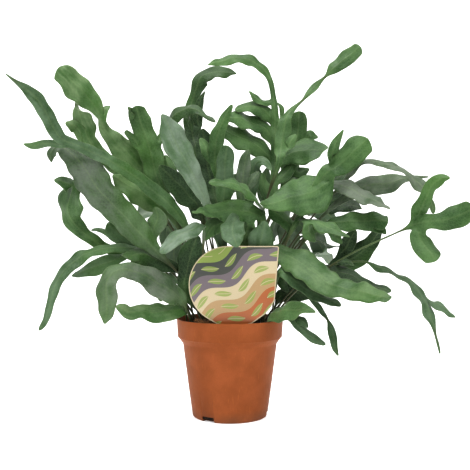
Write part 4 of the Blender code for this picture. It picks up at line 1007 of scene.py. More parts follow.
def frond_form(name, row, style):
    """The frond as an open sheet of quads, with thickness weights and face-corner values."""
    form = bmesh.new()
    form.verts.layers.deform.new()
    for layer in TOLD:
        form.loops.layers.float.new(layer)
    spine = spine_points(row)
    points = stem_points(row, spine[0]) + spine
    start = len(points) - len(spine)
    lengths = knot_lengths(points)
    halves = lobe_halves(row, start, lengths)
    marks = [(lengths[start + index], half) for index, half in halves.items()]
    places = ring_places(lengths[start], lengths[-1], marks)
    read = smooth_line(points, places)
    phase = sum(map(ord, name)) % WAVE_PHASES
    sheet = facing(row["face"])
    roots = []
    outlines = []
    for index, extra, spots in row["lobes"]:
        middle = places.index(lengths[start + index])
        outline = lobe_points(points[start + index], extra, spots)
        way = Vector(outline[1][:3]) - Vector(points[start + index][:3])
        along = (Vector(read[middle + 1][:3]) - Vector(read[middle - 1][:3])).normalized()
        across, _ = across_and_normal(along, sheet)
        side = 1 if way.dot(across) > 0 else -1
        roots.append((lengths[start + index], halves[index], side))
        outlines.append((middle, side, outline))
    rings = blade_rings(form, read, places, row, style, phase, lengths[start], roots=roots)
    beside = len(ACROSS) // 2
    for (middle, side, outline), (_, half, _) in zip(outlines, roots):
        column = -1 if side > 0 else 0
        edge = [rings[middle - side * step][column] for step in range(-beside, beside + 1)]
        root = sum((vertex.co for vertex in edge), Vector()) / len(edge) / MM
        outline[0] = (*root, 2 * half)
        lobe_places = ring_places(0.0, knot_lengths(outline)[-1], ())
        lobe_read = smooth_line(outline, lobe_places)
        blade_rings(form, lobe_read, lobe_places, row, style, phase + LOBE_PHASE, -1.0, first=edge)
    return form


def leaf_material(name, upper, patch, underside):
    """Living fern frond, grown: a smooth waxy skin, so soft broad gloss, with a grey bloom lying in patches
    over blue-green, a paler midrib and side ribs, netted fine veins and a thin pale margin."""
    leaf = bpy.context.scene.fern_leaf
    base, worn = (underside, patch) if underside else (upper, patch)
    rib_share = RIB_SHARES["under" if underside else "upper"]

    def links(tree):
        place = add_node(tree, "TexCoord", out="Object")
        told = {key: add_node(tree, "Attribute", attribute_name=key, out="Fac") for key in TOLD}
        off_rib = add_node(tree, "Math", {0: told["rib"]}, operation="ABSOLUTE")
        rib = add_node(
            tree, "MapRange", {0: off_rib, 1: RIB_LEVELS[0], 2: RIB_LEVELS[1]},
            interpolation_type="SMOOTHSTEP",
        )
        margin = add_node(
            tree, "MapRange", {0: told["margin"], 1: MARGIN_LEVELS[0], 2: MARGIN_LEVELS[1]}
        )
        broad = add_node(
            tree, "TexNoise", {"Vector": place, "Scale": per_metre(LEAF_TONE_SIZE), "Detail": 1.0},
            out="Fac",
        )
        broad_turns = add_node(tree, "Math", {0: broad, 1: STREAK_TURNS}, operation="MULTIPLY")
        # Bloom lies in patches, drawn out along the blade to streaks
        patches = add_node(
            tree, "TexNoise",
            {"Vector": place, "Scale": per_metre(BLOOM_SIZE), "Detail": 3.0, "Roughness": 0.55}, out="Fac",
        )
        slow = add_node(tree, "Math", {0: told["along"], 1: STREAK_DRAWN_OUT}, operation="MULTIPLY")
        lengthwise = add_node(tree, "CombineXYZ", {0: told["rib"], 1: slow, 2: broad_turns})
        streaky = add_node(
            tree, "TexNoise",
            {"Vector": lengthwise, "Scale": 1 / STREAK_WIDTH, "Detail": 3.0, "Roughness": 0.5}, out="Fac",
        )
        laid = add_node(tree, "Math", {0: streaky, 1: STREAK_SHARE, 2: patches}, operation="MULTIPLY_ADD")
        bloom = add_node(
            tree, "MapRange", {0: laid, 1: BLOOM_LEVELS[0], 2: BLOOM_LEVELS[1]},
            interpolation_type="SMOOTHSTEP",
        )
        # Side veins leave the midrib forward
        slant = add_node(
            tree, "Math", {0: off_rib, 1: VEIN_SLANT, 2: told["along"]}, operation="MULTIPLY_ADD"
        )
        wobble = add_node(
            tree, "TexNoise", {"Vector": place, "Scale": per_metre(VEIN_STRAY_SIZE), "Detail": 1.0},
            out="Fac",
        )
        strayed = add_node(tree, "Math", {0: wobble, 1: VEIN_STRAY, 2: slant}, operation="MULTIPLY_ADD")
        turns = add_node(tree, "Math", {0: strayed, 1: math.tau / VEIN_SPACING}, operation="MULTIPLY")
        wave = add_node(tree, "Math", {0: turns}, operation="SINE")
        side_vein = add_node(
            tree, "MapRange", {0: wave, 1: VEIN_LEVELS[0], 2: VEIN_LEVELS[1]},
            interpolation_type="SMOOTHSTEP",
        )
        # The net's cells are a little coarser than the real ones, so that they show
        net = add_node(
            tree, "TexVoronoi", {"Vector": place, "Scale": per_metre(NET_SIZE), "Randomness": 0.9},
            out="Distance", feature="DISTANCE_TO_EDGE",
        )
        netting = add_node(tree, "MapRange", {0: net, 1: NET_WIDTH, 2: 0.0})
        veins = add_node(tree, "Math", {0: side_vein, 1: netting}, operation="MAXIMUM")
        fine = add_node(
            tree, "TexNoise", {"Vector": place, "Scale": per_metre(SKIN_GRAIN), "Detail": 3.0}, out="Fac"
        )

        colour = add_node(
            tree, "Mix", {0: bloom, 6: rgba(linear(base)), 7: rgba(linear(worn))}, out=2, data_type="RGBA"
        )
        for factor, (low, high), amount, tone in (
            (broad, LEAF_TONE_LEVELS, YELLOWING_SHARE, rgba(leaf.yellowing)),
            (veins, (0.0, 1.0), VEIN_SHARE, rgba(leaf.vein_colour)),
            (rib, (0.0, 1.0), rib_share, rgba(leaf.rib_colour)),
            (margin, (0.0, 1.0), MARGIN_SHARE, rgba(leaf.rib_colour)),
        ):
            share = add_node(tree, "MapRange", {0: factor, 1: low, 2: high, 4: amount})
            colour = add_node(tree, "Mix", {0: share, 6: colour, 7: tone}, out=2, data_type="RGBA")
        streaks = add_node(tree, "MapRange", {0: fine, 1: NOISE_LOW, 2: NOISE_HIGH})
        stem = add_node(
            tree, "Mix", {0: streaks, 6: rgba(leaf.stem_colour), 7: rgba(leaf.stem_shade)},
            out=2, data_type="RGBA",
        )
        colour = add_node(tree, "Mix", {0: told["stem"], 6: colour, 7: stem}, out=2, data_type="RGBA")
        mottle = add_node(
            tree, "MapRange", {0: fine, 1: NOISE_LOW, 2: NOISE_HIGH, 3: MOTTLE[0], 4: MOTTLE[1]}
        )
        colour = add_node(tree, "HueSaturation", {"Color": colour, "Value": mottle})
        rough = add_node(tree, "MapRange", {0: bloom, 3: leaf.gloss, 4: leaf.gloss + BLOOM_ROUGHNESS})

        ribs = add_node(tree, "Math", {0: rib, 1: RIB_RELIEF}, operation="MULTIPLY")
        relief = add_node(tree, "Math", {0: veins, 1: VEIN_RELIEF, 2: ribs}, operation="MULTIPLY_ADD")
        relief = add_node(tree, "Math", {0: fine, 1: GRAIN_RELIEF, 2: relief}, operation="MULTIPLY_ADD")
        bump = add_node(tree, "Bump", {"Height": relief, "Strength": 0.5, "Distance": LEAF_RELIEF * MM})
        return {"Base Color": colour, "Roughness": rough, "Normal": bump}

    return new_material(
        name, links, IOR=1.45, Specular_IOR_Level=0.32, Sheen_Weight=0.05, Sheen_Roughness=0.5
    )


def pot_material():
    """Polypropylene, injection moulded in terracotta colour: satin, slightly mottled where it cooled, with
    fine upright scuffs, soil dust low down and a faint mould line at the front."""
    pot = bpy.context.scene.fern_pot

    def links(tree):
        place = add_node(tree, "TexCoord", out="Object")
        height = add_node(tree, "SeparateXYZ", {0: place}, out=2)
        across = height.node.outputs[0]
        cloud = add_node(
            tree, "TexNoise", {"Vector": place, "Scale": per_metre(CLOUD_SIZE), "Detail": 4.0}, out="Fac"
        )
        grain = add_node(
            tree, "TexNoise", {"Vector": place, "Scale": per_metre(PLASTIC_GRAIN), "Detail": 2.0},
            out="Fac",
        )
        stretched = add_node(tree, "Mapping", {"Vector": place, "Scale": (1.0, 1.0, SCUFF_DRAWN_OUT)})
        scuffs = add_node(
            tree, "TexNoise", {"Vector": stretched, "Scale": per_metre(SCUFF_WIDTH), "Detail": 3.0},
            out="Fac",
        )
        share = add_node(tree, "MapRange", {0: cloud, 1: CLOUD_LEVELS[0], 2: CLOUD_LEVELS[1]})
        colour = add_node(
            tree, "Mix", {0: share, 6: rgba(pot.colour), 7: rgba(pot.shade)}, out=2, data_type="RGBA"
        )
        worn = add_node(
            tree, "MapRange", {0: scuffs, 1: SCUFF_LEVELS[0], 2: SCUFF_LEVELS[1], 4: SCUFF_SHARE}
        )
        colour = add_node(
            tree, "Mix", {0: worn, 6: colour, 7: rgba(pot.scuff)}, out=2, data_type="RGBA"
        )
        low = add_node(tree, "MapRange", {0: height, 1: DUST_HEIGHT * MM, 2: 0.0})
        dusty = add_node(tree, "Math", {0: low, 1: cloud}, operation="MULTIPLY")
        dust = add_node(
            tree, "MapRange", {0: dusty, 1: DUST_LEVELS[0], 2: DUST_LEVELS[1], 4: DUST_SHARE}
        )
        colour = add_node(tree, "Mix", {0: dust, 6: colour, 7: rgba(pot.dust)}, out=2, data_type="RGBA")
        tone = add_node(
            tree, "MapRange",
            {0: grain, 1: NOISE_LOW, 2: NOISE_HIGH, 3: PLASTIC_TONE[0], 4: PLASTIC_TONE[1]},
        )
        colour = add_node(tree, "HueSaturation", {"Color": colour, "Value": tone})
        smooth, rubbed = SCUFF_GLOSS_LEVELS
        rough = add_node(
            tree, "MapRange",
            {0: scuffs, 1: smooth, 2: rubbed, 3: pot.gloss, 4: pot.gloss + SCUFF_ROUGHNESS},
        )
        off_line = add_node(tree, "Math", {0: across}, operation="ABSOLUTE")
        seam = add_node(tree, "MapRange", {0: off_line, 1: MOULD_LINE[0] * MM, 2: MOULD_LINE[1] * MM})
        relief = add_node(
            tree, "Math", {0: grain, 1: PLASTIC_GRAIN_RELIEF, 2: seam}, operation="MULTIPLY_ADD"
        )
        bump = add_node(
            tree, "Bump", {"Height": relief, "Strength": 0.4, "Distance": PLASTIC_RELIEF * MM}
        )
        return {"Base Color": colour, "Roughness": rough, "Normal": bump}

    return new_material("injection_moulded_polypropylene", links, IOR=1.49, Specular_IOR_Level=0.12)


def peat_material(name):
    """Peat potting soil, milled and pressed in by hand: matt, near black where damp, with brown crumbs and
    fibres a millimetre or two across."""
    soil = bpy.context.scene.fern_soil

    def links(tree):
        place = add_node(tree, "TexCoord", out="Object")
        crumb = add_node(
            tree, "TexVoronoi", {"Vector": place, "Scale": per_metre(PEAT_GRAIN[name])}, out="Distance"
        )
        tint = add_node(
            tree, "TexNoise", {"Vector": place, "Scale": per_metre(PEAT_TINT_SIZE), "Detail": 6.0},
            out="Fac",
        )
        share = add_node(tree, "MapRange", {0: tint, 1: PEAT_TINT_LEVELS[0], 2: PEAT_TINT_LEVELS[1]})
        colour = add_node(
            tree, "Mix", {0: share, 6: rgba(soil.damp), 7: rgba(soil.dry)}, out=2, data_type="RGBA"
        )
        (low, high), (light, deep) = PEAT_GAP_LEVELS, PEAT_GAP_TONE
        dark = add_node(tree, "MapRange", {0: crumb, 1: low, 2: high, 3: light, 4: deep})
        colour = add_node(tree, "HueSaturation", {"Color": colour, "Value": dark})
        relief = add_node(tree, "Math", {0: crumb, 1: -1.0, 2: tint}, operation="MULTIPLY_ADD")
        bump = add_node(tree, "Bump", {"Height": relief, "Strength": 0.8, "Distance": PEAT_RELIEF * MM})
        return {"Base Color": colour, "Normal": bump}

    return new_material(name, links, Roughness=0.95, IOR=1.4)


def rhizome_material():
    """Creeping rhizome, grown: a brown skin under papery golden-brown scales, matt with a slight sheen."""
    rhizome = bpy.context.scene.fern_rhizome

    def links(tree):
        place = add_node(tree, "TexCoord", out="Object")
        fibres = add_node(
            tree, "TexNoise", {"Vector": place, "Scale": per_metre(FIBRE_SIZE), "Detail": 4.0}, out="Fac"
        )
        share = add_node(tree, "MapRange", {0: fibres, 1: FIBRE_LEVELS[0], 2: FIBRE_LEVELS[1]})
        colour = add_node(
            tree, "Mix", {0: share, 6: rgba(rhizome.skin), 7: rgba(rhizome.scale)}, out=2, data_type="RGBA"
        )
        bump = add_node(tree, "Bump", {"Height": fibres, "Strength": 0.6, "Distance": FIBRE_RELIEF * MM})
        return {"Base Color": colour, "Normal": bump}

    return new_material("scaly_rhizome", links, Roughness=0.8, Sheen_Weight=0.2, IOR=1.45)


def label_material():
    """Polypropylene tag, offset printed and varnished: crisp flat inks under a thin even gloss. The print is
    a plain pattern of slanting ribbons and pointed ovals inside a cream border."""
    label = bpy.context.scene.fern_label

    def links(tree):
        place = add_node(tree, "TexCoord", out="Object")
        flat = add_node(tree, "Mapping", {"Vector": place, "Scale": (1 / MM, 1 / MM, 1 / MM)})
        turned = add_node(
            tree, "VectorRotate", {"Vector": flat, "Angle": math.radians(RIBBON_SLANT)},
            rotation_type="Y_AXIS",
        )
        along = add_node(tree, "SeparateXYZ", {0: turned}, out=0)
        over = along.node.outputs[2]
        # Ribbons sway from side to side along their length
        phase = add_node(tree, "Math", {0: along, 1: math.tau / RIBBON_WAVE}, operation="MULTIPLY")
        sway = add_node(tree, "Math", {0: phase}, operation="SINE")
        bent = add_node(tree, "Math", {0: sway, 1: RIBBON_SWAY, 2: over}, operation="MULTIPLY_ADD")
        inks = [label.orange, label.peach, label.cream, label.mauve, label.slate, label.leaf]
        band = add_node(tree, "Math", {0: bent, 1: RIBBON_WIDTH}, operation="DIVIDE")
        loop = add_node(tree, "Math", {0: band, 1: len(inks)}, operation="FLOORED_MODULO")
        share = add_node(tree, "Math", {0: loop, 1: len(inks)}, operation="DIVIDE")
        colour = add_node(tree, "ValToRGB", {0: share})
        bands = colour.node.color_ramp
        bands.interpolation = "CONSTANT"
        while len(bands.elements) < len(inks):
            bands.elements.new(0.5)
        for index, (element, ink) in enumerate(zip(bands.elements, inks)):
            element.position = index / len(inks)
            element.color = rgba(ink)
        # Pointed ovals sit one to a cell, and follow the ribbons
        cell_x = add_node(tree, "Math", {0: along, 1: OVAL_CELL}, operation="FLOORED_MODULO")
        from_x = add_node(tree, "Math", {0: cell_x, 1: OVAL_CELL / 2}, operation="SUBTRACT")
        cell_z = add_node(tree, "Math", {0: bent, 1: RIBBON_WIDTH}, operation="FLOORED_MODULO")
        from_z = add_node(tree, "Math", {0: cell_z, 1: RIBBON_WIDTH / 2}, operation="SUBTRACT")
        high = add_node(tree, "Math", {0: from_z}, operation="ABSOLUTE")
        square = add_node(tree, "Math", {0: from_x, 1: from_x}, operation="MULTIPLY")
        room = add_node(
            tree, "Math", {0: square, 1: -OVAL_HALF_WIDTH / OVAL_HALF_LENGTH**2, 2: OVAL_HALF_WIDTH},
            operation="MULTIPLY_ADD",
        )
        inside = add_node(tree, "Math", {0: room, 1: high}, operation="SUBTRACT")
        oval = add_node(
            tree, "MapRange", {0: inside, 1: OVAL_LEVELS[0], 2: OVAL_LEVELS[1], 4: OVAL_SHARE}
        )
        colour = add_node(tree, "Mix", {0: oval, 6: colour, 7: rgba(label.leaf)}, out=2, data_type="RGBA")
        vein = add_node(tree, "MapRange", {0: high, 1: OVAL_VEIN_LEVELS[0], 2: OVAL_VEIN_LEVELS[1]})
        veined = add_node(tree, "Math", {0: vein, 1: oval}, operation="MULTIPLY")
        border = add_node(tree, "Attribute", attribute_name="border", out="Fac")
        trim = add_node(tree, "MapRange", {0: border, 1: BORDER_LEVELS[0], 2: BORDER_LEVELS[1]})
        for share in (veined, trim):
            colour = add_node(
                tree, "Mix", {0: share, 6: colour, 7: rgba(label.cream)}, out=2, data_type="RGBA"
            )
        # Offset print leaves a slight speckle, drawn coarser than the real one so that it shows
        speckle = add_node(
            tree, "TexNoise", {"Vector": place, "Scale": per_metre(SPECKLE_SIZE), "Detail": 2.0},
            out="Fac",
        )
        tone = add_node(
            tree, "MapRange",
            {0: speckle, 1: NOISE_LOW, 2: NOISE_HIGH, 3: SPECKLE_TONE[0], 4: SPECKLE_TONE[1]},
        )
        colour = add_node(tree, "HueSaturation", {"Color": colour, "Value": tone})
        bump = add_node(tree, "Bump", {"Height": speckle, "Strength": 0.15, "Distance": 0.05 * MM})
        return {"Base Color": colour, "Normal": bump}

    return new_material("printed_polypropylene_tag", links, Roughness=0.34, IOR=1.49, Coat_Weight=0.25)


def backdrop_material():
    """Matt studio paper, rolled: even white with the faintest tooth."""
    stage = bpy.context.scene.fern_stage

    def links(tree):
        place = add_node(tree, "TexCoord", out="Object")
        tooth = add_node(
            tree, "TexNoise", {"Vector": place, "Scale": per_metre(TOOTH_SIZE), "Detail": 2.0}, out="Fac"
        )
        tone = add_node(
            tree, "MapRange",
            {0: tooth, 1: NOISE_LOW, 2: NOISE_HIGH, 3: TOOTH_TONE[0], 4: TOOTH_TONE[1]},
        )
        colour = add_node(tree, "HueSaturation", {"Color": rgba(stage.floor), "Value": tone})
        return {"Base Color": colour}

    return new_material(
        "studio_paper", links, Roughness=1.0, IOR=1.3, Emission_Color=(1.0, 1.0, 1.0, 1.0),
        Emission_Strength=stage.glow,
    )


# Pot, soil, rhizomes and label


def finished_mesh(name, form):
    """A mesh made from a bmesh, which is freed."""
    mesh = bpy.data.meshes.new(name)
    form.to_mesh(mesh)
    form.free()
    return mesh


def turned(name, profile, segments):
    """A mesh turned round +Z from (radius, height) points; points on the axis close it."""
    form = bmesh.new()
    rings = []
    for radius, height in profile:
        if radius < 1e-6:
            rings.append([form.verts.new((0, 0, height * MM))])
            continue
        angles = (math.tau * i / segments for i in range(segments))
        rings.append([
            form.verts.new((radius * MM * math.cos(angle), radius * MM * math.sin(angle), height * MM))
            for angle in angles
        ])
    for one, two in zip(rings, rings[1:]):
        for i in range(segments):
            j = (i + 1) % segments
            corners = []
            for corner in (one[i % len(one)], two[i % len(two)], two[j % len(two)], one[j % len(one)]):
                if corner not in corners:
                    corners.append(corner)
            form.faces.new(corners).smooth = True
    bmesh.ops.recalc_face_normals(form, faces=form.faces)
    return finished_mesh(name, form)


def arc(centre, radius, start, end, steps):
    """(radius, height) points on an arc, angles in degrees from the outward direction."""
    return [
        (
            centre[0] + radius * math.cos(math.radians(start + (end - start) * i / steps)),
            centre[1] + radius * math.sin(math.radians(start + (end - start) * i / steps)),
        )
        for i in range(steps + 1)
    ]


def pot_profile(lip):
    """The pot's section, from the middle of its floor inside, over the lip and to the middle underneath."""
    rim_in = RIM_RADIUS - WALL
    low = FLOOR + FLOOR_ROUNDING
    step = (RIM_FOOT_RADIUS - STEP_ROUNDING, RIM_FOOT_HEIGHT + STEP_ROUNDING_RISE)
    return [
        (0, FLOOR),
        (FLOOR_RING, FLOOR),
        *arc((inner_radius(low) - FLOOR_ROUNDING, low), FLOOR_ROUNDING, -90, 0, 4),
        (inner_radius(LOWER_WALL), LOWER_WALL),
        (inner_radius(SHOULDER_HEIGHT), SHOULDER_HEIGHT),
        (inner_radius(RIM_FOOT_HEIGHT) - STEP_EASE, RIM_FOOT_HEIGHT - STEP_EASE),
        (inner_radius(RIM_FOOT_HEIGHT + RIM_FOOT_EASE), RIM_FOOT_HEIGHT + RIM_FOOT_EASE),
        (inner_radius(UPPER_WALL), UPPER_WALL),
        *arc((rim_in + lip, POT_HEIGHT - lip), lip, 180, 90, 4),
        *arc((RIM_RADIUS - lip, POT_HEIGHT - lip), lip, 90, 0, 4),
        (RIM_RADIUS - RIM_BULGE[0][0], POT_HEIGHT - RIM_BULGE[0][1]),
        (RIM_FOOT_RADIUS + RIM_BULGE[1][0], RIM_FOOT_HEIGHT + RIM_BULGE[1][1]),
        *arc(step, STEP_ROUNDING, 0, -60, 4),
        (RIM_FOOT_RADIUS - STEP_FOOT[0], RIM_FOOT_HEIGHT - STEP_FOOT[1]),
        *((BODY_TOP_RADIUS + out, SHOULDER_HEIGHT + rise) for out, rise in SHOULDER_EASE),
        ((BASE_RADIUS + BODY_TOP_RADIUS) / 2, SHOULDER_HEIGHT / 2),
        *arc((BASE_RADIUS - BASE_ROUNDING, BASE_ROUNDING), BASE_ROUNDING, 0, -90, 6),
        (FLOOR_RING, 0),
        (0, 0),
    ]


def cut_drains(pot):
    """Cut the drain notches through the pot's foot."""
    form = bmesh.new()
    for azimuth in DRAIN_AZIMUTHS:
        low = Vector((BASE_RADIUS - DRAIN_REACH[0], -DRAIN_WIDTH / 2, -DRAIN_BELOW))
        high = Vector((BASE_RADIUS + DRAIN_REACH[1], DRAIN_WIDTH / 2, DRAIN_HEIGHT))
        turn = Matrix.Rotation(math.radians(azimuth), 4, "Z")
        place = turn @ Matrix.Translation((low + high) / 2 * MM)
        size = (high - low) * MM
        made = bmesh.ops.create_cube(form, size=1.0, matrix=place @ Matrix.Diagonal((*size, 1.0)))
        edges = list({edge for vertex in made["verts"] for edge in vertex.link_edges})
        bmesh.ops.bevel(
            form, geom=edges, offset=DRAIN_BEVEL * MM, segments=3, affect="EDGES", profile=0.5
        )
    cutter = bpy.data.objects.new("drain_cutter", finished_mesh("drain_cutter", form))
    bpy.context.scene.collection.objects.link(cutter)
    boolean = pot.modifiers.new("drains", "BOOLEAN")
    boolean.operation = "DIFFERENCE"
    boolean.object = cutter
    apply_modifiers(pot)
    bpy.data.objects.remove(cutter)


def apply_modifiers(piece):
    """Put a piece's modifiers into its mesh."""
    graph = bpy.context.evaluated_depsgraph_get()
    mesh = bpy.data.meshes.new_from_object(piece.evaluated_get(graph))
    piece.modifiers.clear()
    piece.data = mesh


def make_soil_skin(finish, crumb_finish, settings):
    """The crumbly top of the soil: a rough skin over the packed soil, with loose crumbs on it."""
    lumps = settings.lump_height / MM
    edge = inner_radius(SOIL_EDGE_HEIGHT + 1) - SKIN_GAP

    def top(x, y):
        rough = noise.fractal(Vector((x / LUMP_SIZE, y / LUMP_SIZE, LUMP_PLACE)), *LUMP_ROUGHNESS)
        return soil_height(x, y) + SKIN_RISE + lumps * rough

    form = bmesh.new()
    rings = [[form.verts.new((0, 0, top(0, 0) * MM))]]
    for ring in range(1, SKIN_RINGS + 1):
        radius = edge * ring / SKIN_RINGS
        row = []
        for i in range(SKIN_SIDES):
            angle = math.tau * i / SKIN_SIDES
            x, y = radius * math.cos(angle), radius * math.sin(angle)
            row.append(form.verts.new((x * MM, y * MM, top(x, y) * MM)))
        rings.append(row)
    foot = (SOIL_EDGE_HEIGHT - SKIN_SKIRT) * MM
    rings.append([form.verts.new((vertex.co.x, vertex.co.y, foot)) for vertex in rings[-1]])
    for one, two in zip(rings, rings[1:]):
        for i in range(SKIN_SIDES):
            j = (i + 1) % SKIN_SIDES
            corners = [one[i % len(one)], two[i], two[j]]
            if len(one) > 1:
                corners.append(one[j])
            form.faces.new(corners).smooth = True
    bmesh.ops.recalc_face_normals(form, faces=form.faces)
    add_piece("peat_top", finished_mesh("peat_top", form), [finish])

    chance = random.Random(CRUMB_SEED)
    form = bmesh.new()
    for _ in range(settings.crumbs):
        radius, angle = edge * CRUMB_SPREAD * math.sqrt(chance.random()), chance.uniform(0, math.tau)
        x, y = radius * math.cos(angle), radius * math.sin(angle)
        size = chance.uniform(*CRUMB_SIZES) ** 2 * settings.crumb_size / MM
        spin = chance.uniform(0, math.tau)
        turn = Matrix.Rotation(spin, 4, Vector((chance.random(), chance.random(), CRUMB_TILT)))
        place = Matrix.Translation(Vector((x, y, top(x, y) + size * CRUMB_SUNK)) * MM) @ turn
        shape = Matrix.Diagonal((1.0, chance.uniform(*CRUMB_WIDTHS), chance.uniform(*CRUMB_HEIGHTS), 1.0))
        made = bmesh.ops.create_icosphere(form, subdivisions=1, radius=size / 2 * MM, matrix=place @ shape)
        for vertex in made["verts"]:
            push = noise.noise(vertex.co * CRUMB_KNOBS) * size * CRUMB_KNOB_SHARE * MM
            vertex.co += (vertex.co - place.translation).normalized() * push
    add_piece("peat_crumbs", finished_mesh("peat_crumbs", form), [crumb_finish])


def tube_form(form, route, radii, sides):
    """Add a closed tube along a route of places in millimetres."""
    rings = []
    up = Vector((0, 0, 1))
    last = len(route) - 1
    for index, (place, radius) in enumerate(zip(route, radii)):
        ahead = Vector(route[min(last, index + 1)][:3]) - Vector(route[max(0, index - 1)][:3])
        side = ahead.cross(up).normalized()
        over = side.cross(ahead).normalized()
        angles = (math.tau * i / sides for i in range(sides))
        outs = (side * math.cos(angle) + over * math.sin(angle) for angle in angles)
        rings.append([form.verts.new((Vector(place[:3]) + out * radius) * MM) for out in outs])
    for one, two in zip(rings, rings[1:]):
        for i in range(sides):
            j = (i + 1) % sides
            form.faces.new((one[i], one[j], two[j], two[i])).smooth = True
    form.faces.new(list(reversed(rings[0])))
    form.faces.new(rings[-1])


def make_rhizome(name, node, finish, settings):
    """A rhizome lying on the soil: a knobbly tube thickly set with narrow papery scales."""
    radius, route = RHIZOMES[node]
    points = [(*place, radius) for place in route]
    length = knot_lengths(points)[-1]
    way = smooth_line(points, [length * i / RHIZOME_STEPS for i in range(RHIZOME_STEPS + 1)])
    slim, full, shift = RHIZOME_TAPER
    radii = [
        radius
        * (slim + full * math.sin(math.pi * min(1, shift + i / RHIZOME_STEPS)))
        * (1 + KNOB_SHARE * noise.noise(Vector(place[:3]) / KNOB_SIZE))
        for i, place in enumerate(way)
    ]
    form = bmesh.new()
    tube_form(form, way, radii, RHIZOME_SIDES)
    chance = random.Random(len(name))
    scale_length = settings.scale_length / MM
    for _ in range(settings.scales):
        index = chance.randrange(1, RHIZOME_STEPS - 1)
        ahead = (Vector(way[index + 1][:3]) - Vector(way[index - 1][:3])).normalized()
        side = ahead.cross(Vector((0, 0, 1))).normalized()
        over = side.cross(ahead).normalized()
        angle = chance.uniform(-SCALE_ANGLE, math.pi + SCALE_ANGLE)
        out = side * math.cos(angle) + over * math.sin(angle)
        around = out.cross(ahead).normalized()
        root = Vector(way[index][:3]) + ahead * chance.uniform(-1, 1) + out * radii[index] * SCALE_SUNK
        lean = ahead * chance.choice(SCALE_WAYS) + around * chance.uniform(-SCALE_STRAY, SCALE_STRAY)
        lean.normalize()
        wide = lean.cross(out).normalized() * chance.uniform(*SCALE_WIDTHS)
        reach = scale_length * chance.uniform(*SCALE_LENGTHS)
        rows = [
            [
                form.verts.new((root + lean * reach * share + out * reach * rise + wide * half * edge) * MM)
                for edge in (-1, 1)
            ]
            for share, half, rise in SCALE_STEPS
        ]
        tip = form.verts.new((root + lean * reach + out * reach * SCALE_TIP_RISE) * MM)
        for one, two in zip(rows, rows[1:]):
            form.faces.new((one[0], one[1], two[1], two[0]))
        form.faces.new((rows[-1][0], rows[-1][1], tip))
    add_piece(name, finished_mesh(name, form), [finish], node=node)


def label_outline():
    """The tag's outline in (x, z): a round left side, a slightly rounded top right corner and a stake."""
    centre = Vector(LABEL_CENTRE)
    corner = Vector(LABEL_CORNER)
    top_left = centre + Vector((0, LABEL_RADIUS))
    right_foot = Vector(LABEL_RIGHT_FOOT)
    into_top = corner + (top_left - corner).normalized() * CORNER_ROUNDING
    into_side = corner + (right_foot - corner).normalized() * CORNER_ROUNDING
    rounded = [
        into_side.lerp(corner, t).lerp(corner.lerp(into_top, t), t) for t in CORNER_STEPS
    ]
    angles = [math.radians(angle) for angle in ROUND_SIDE_ANGLES]
    round_side = [
        (centre.x + LABEL_RADIUS * math.cos(angle), centre.y + LABEL_RADIUS * math.sin(angle))
        for angle in angles
    ]
    neck = POT_HEIGHT - NECK_BELOW_RIM
    return [
        *rounded,
        *round_side,
        (-STAKE_WIDTH / 2, neck),
        (-STAKE_WIDTH / 2, STAKE_FOOT + STAKE_POINT),
        (0, STAKE_FOOT),
        (STAKE_WIDTH / 2, STAKE_FOOT + STAKE_POINT),
        (STAKE_WIDTH / 2, neck),
        *LABEL_FOOT,
        LABEL_RIGHT_FOOT,
    ]


def make_label_mesh(thickness, border):
    """The tag as thin sheet with eased edges, and a border ring told to its material."""
    form = bmesh.new()
    plane = (LABEL_Y + thickness / 2) * MM
    outline = [form.verts.new((x * MM, plane, z * MM)) for x, z in label_outline()]
    face = form.faces.new(outline)
    face.normal_update()
    if face.normal.y < 0:
        face.normal_flip()
    back = bmesh.ops.extrude_face_region(form, geom=[face])
    front = [item for item in back["geom"] if isinstance(item, bmesh.types.BMFace)][0]
    bmesh.ops.translate(form, vec=(0, -thickness * MM, 0), verts=front.verts)
    rim = [edge for edge in form.edges if len({v.co.y > LABEL_Y * MM for v in edge.verts}) == 1]
    bmesh.ops.bevel(form, geom=rim, offset=LABEL_EDGE * MM, segments=2, affect="EDGES", profile=0.5)
    layer = form.loops.layers.float.new("border")
    bmesh.ops.recalc_face_normals(form, faces=form.faces)
    printed = [face for face in form.faces if face.normal.y < FACING_FRONT]
    front = max(printed, key=lambda face: face.calc_area())
    inner = bmesh.ops.inset_region(form, faces=[front], thickness=border * MM, use_even_offset=True)
    plain = [*inner["faces"], *(face for face in form.faces if face.normal.y > FACING_FRONT)]
    for face in plain:
        for loop in face.loops:
            loop[layer] = 1.0
    return finished_mesh("printed_tag", form)


# Settings, operators and panel


def colour_setting(name, code, description):
    """A colour setting with its default from a hex value."""
    return bpy.props.FloatVectorProperty(
        name=name, description=description, default=linear(code), size=3, min=0.0, max=1.0, subtype="COLOR"
    )


def length_setting(name, default, description):
    """A length setting in metres with its default in millimetres."""
    return bpy.props.FloatProperty(
        name=name, description=description, default=default * MM, min=0.0, unit="LENGTH", subtype="DISTANCE"
    )


def number_setting(name, default, description, low=0.0, high=1.0, subtype="NONE"):
    """A setting without a unit of length."""
    return bpy.props.FloatProperty(
        name=name, description=description, default=default, min=low, max=high, subtype=subtype
    )


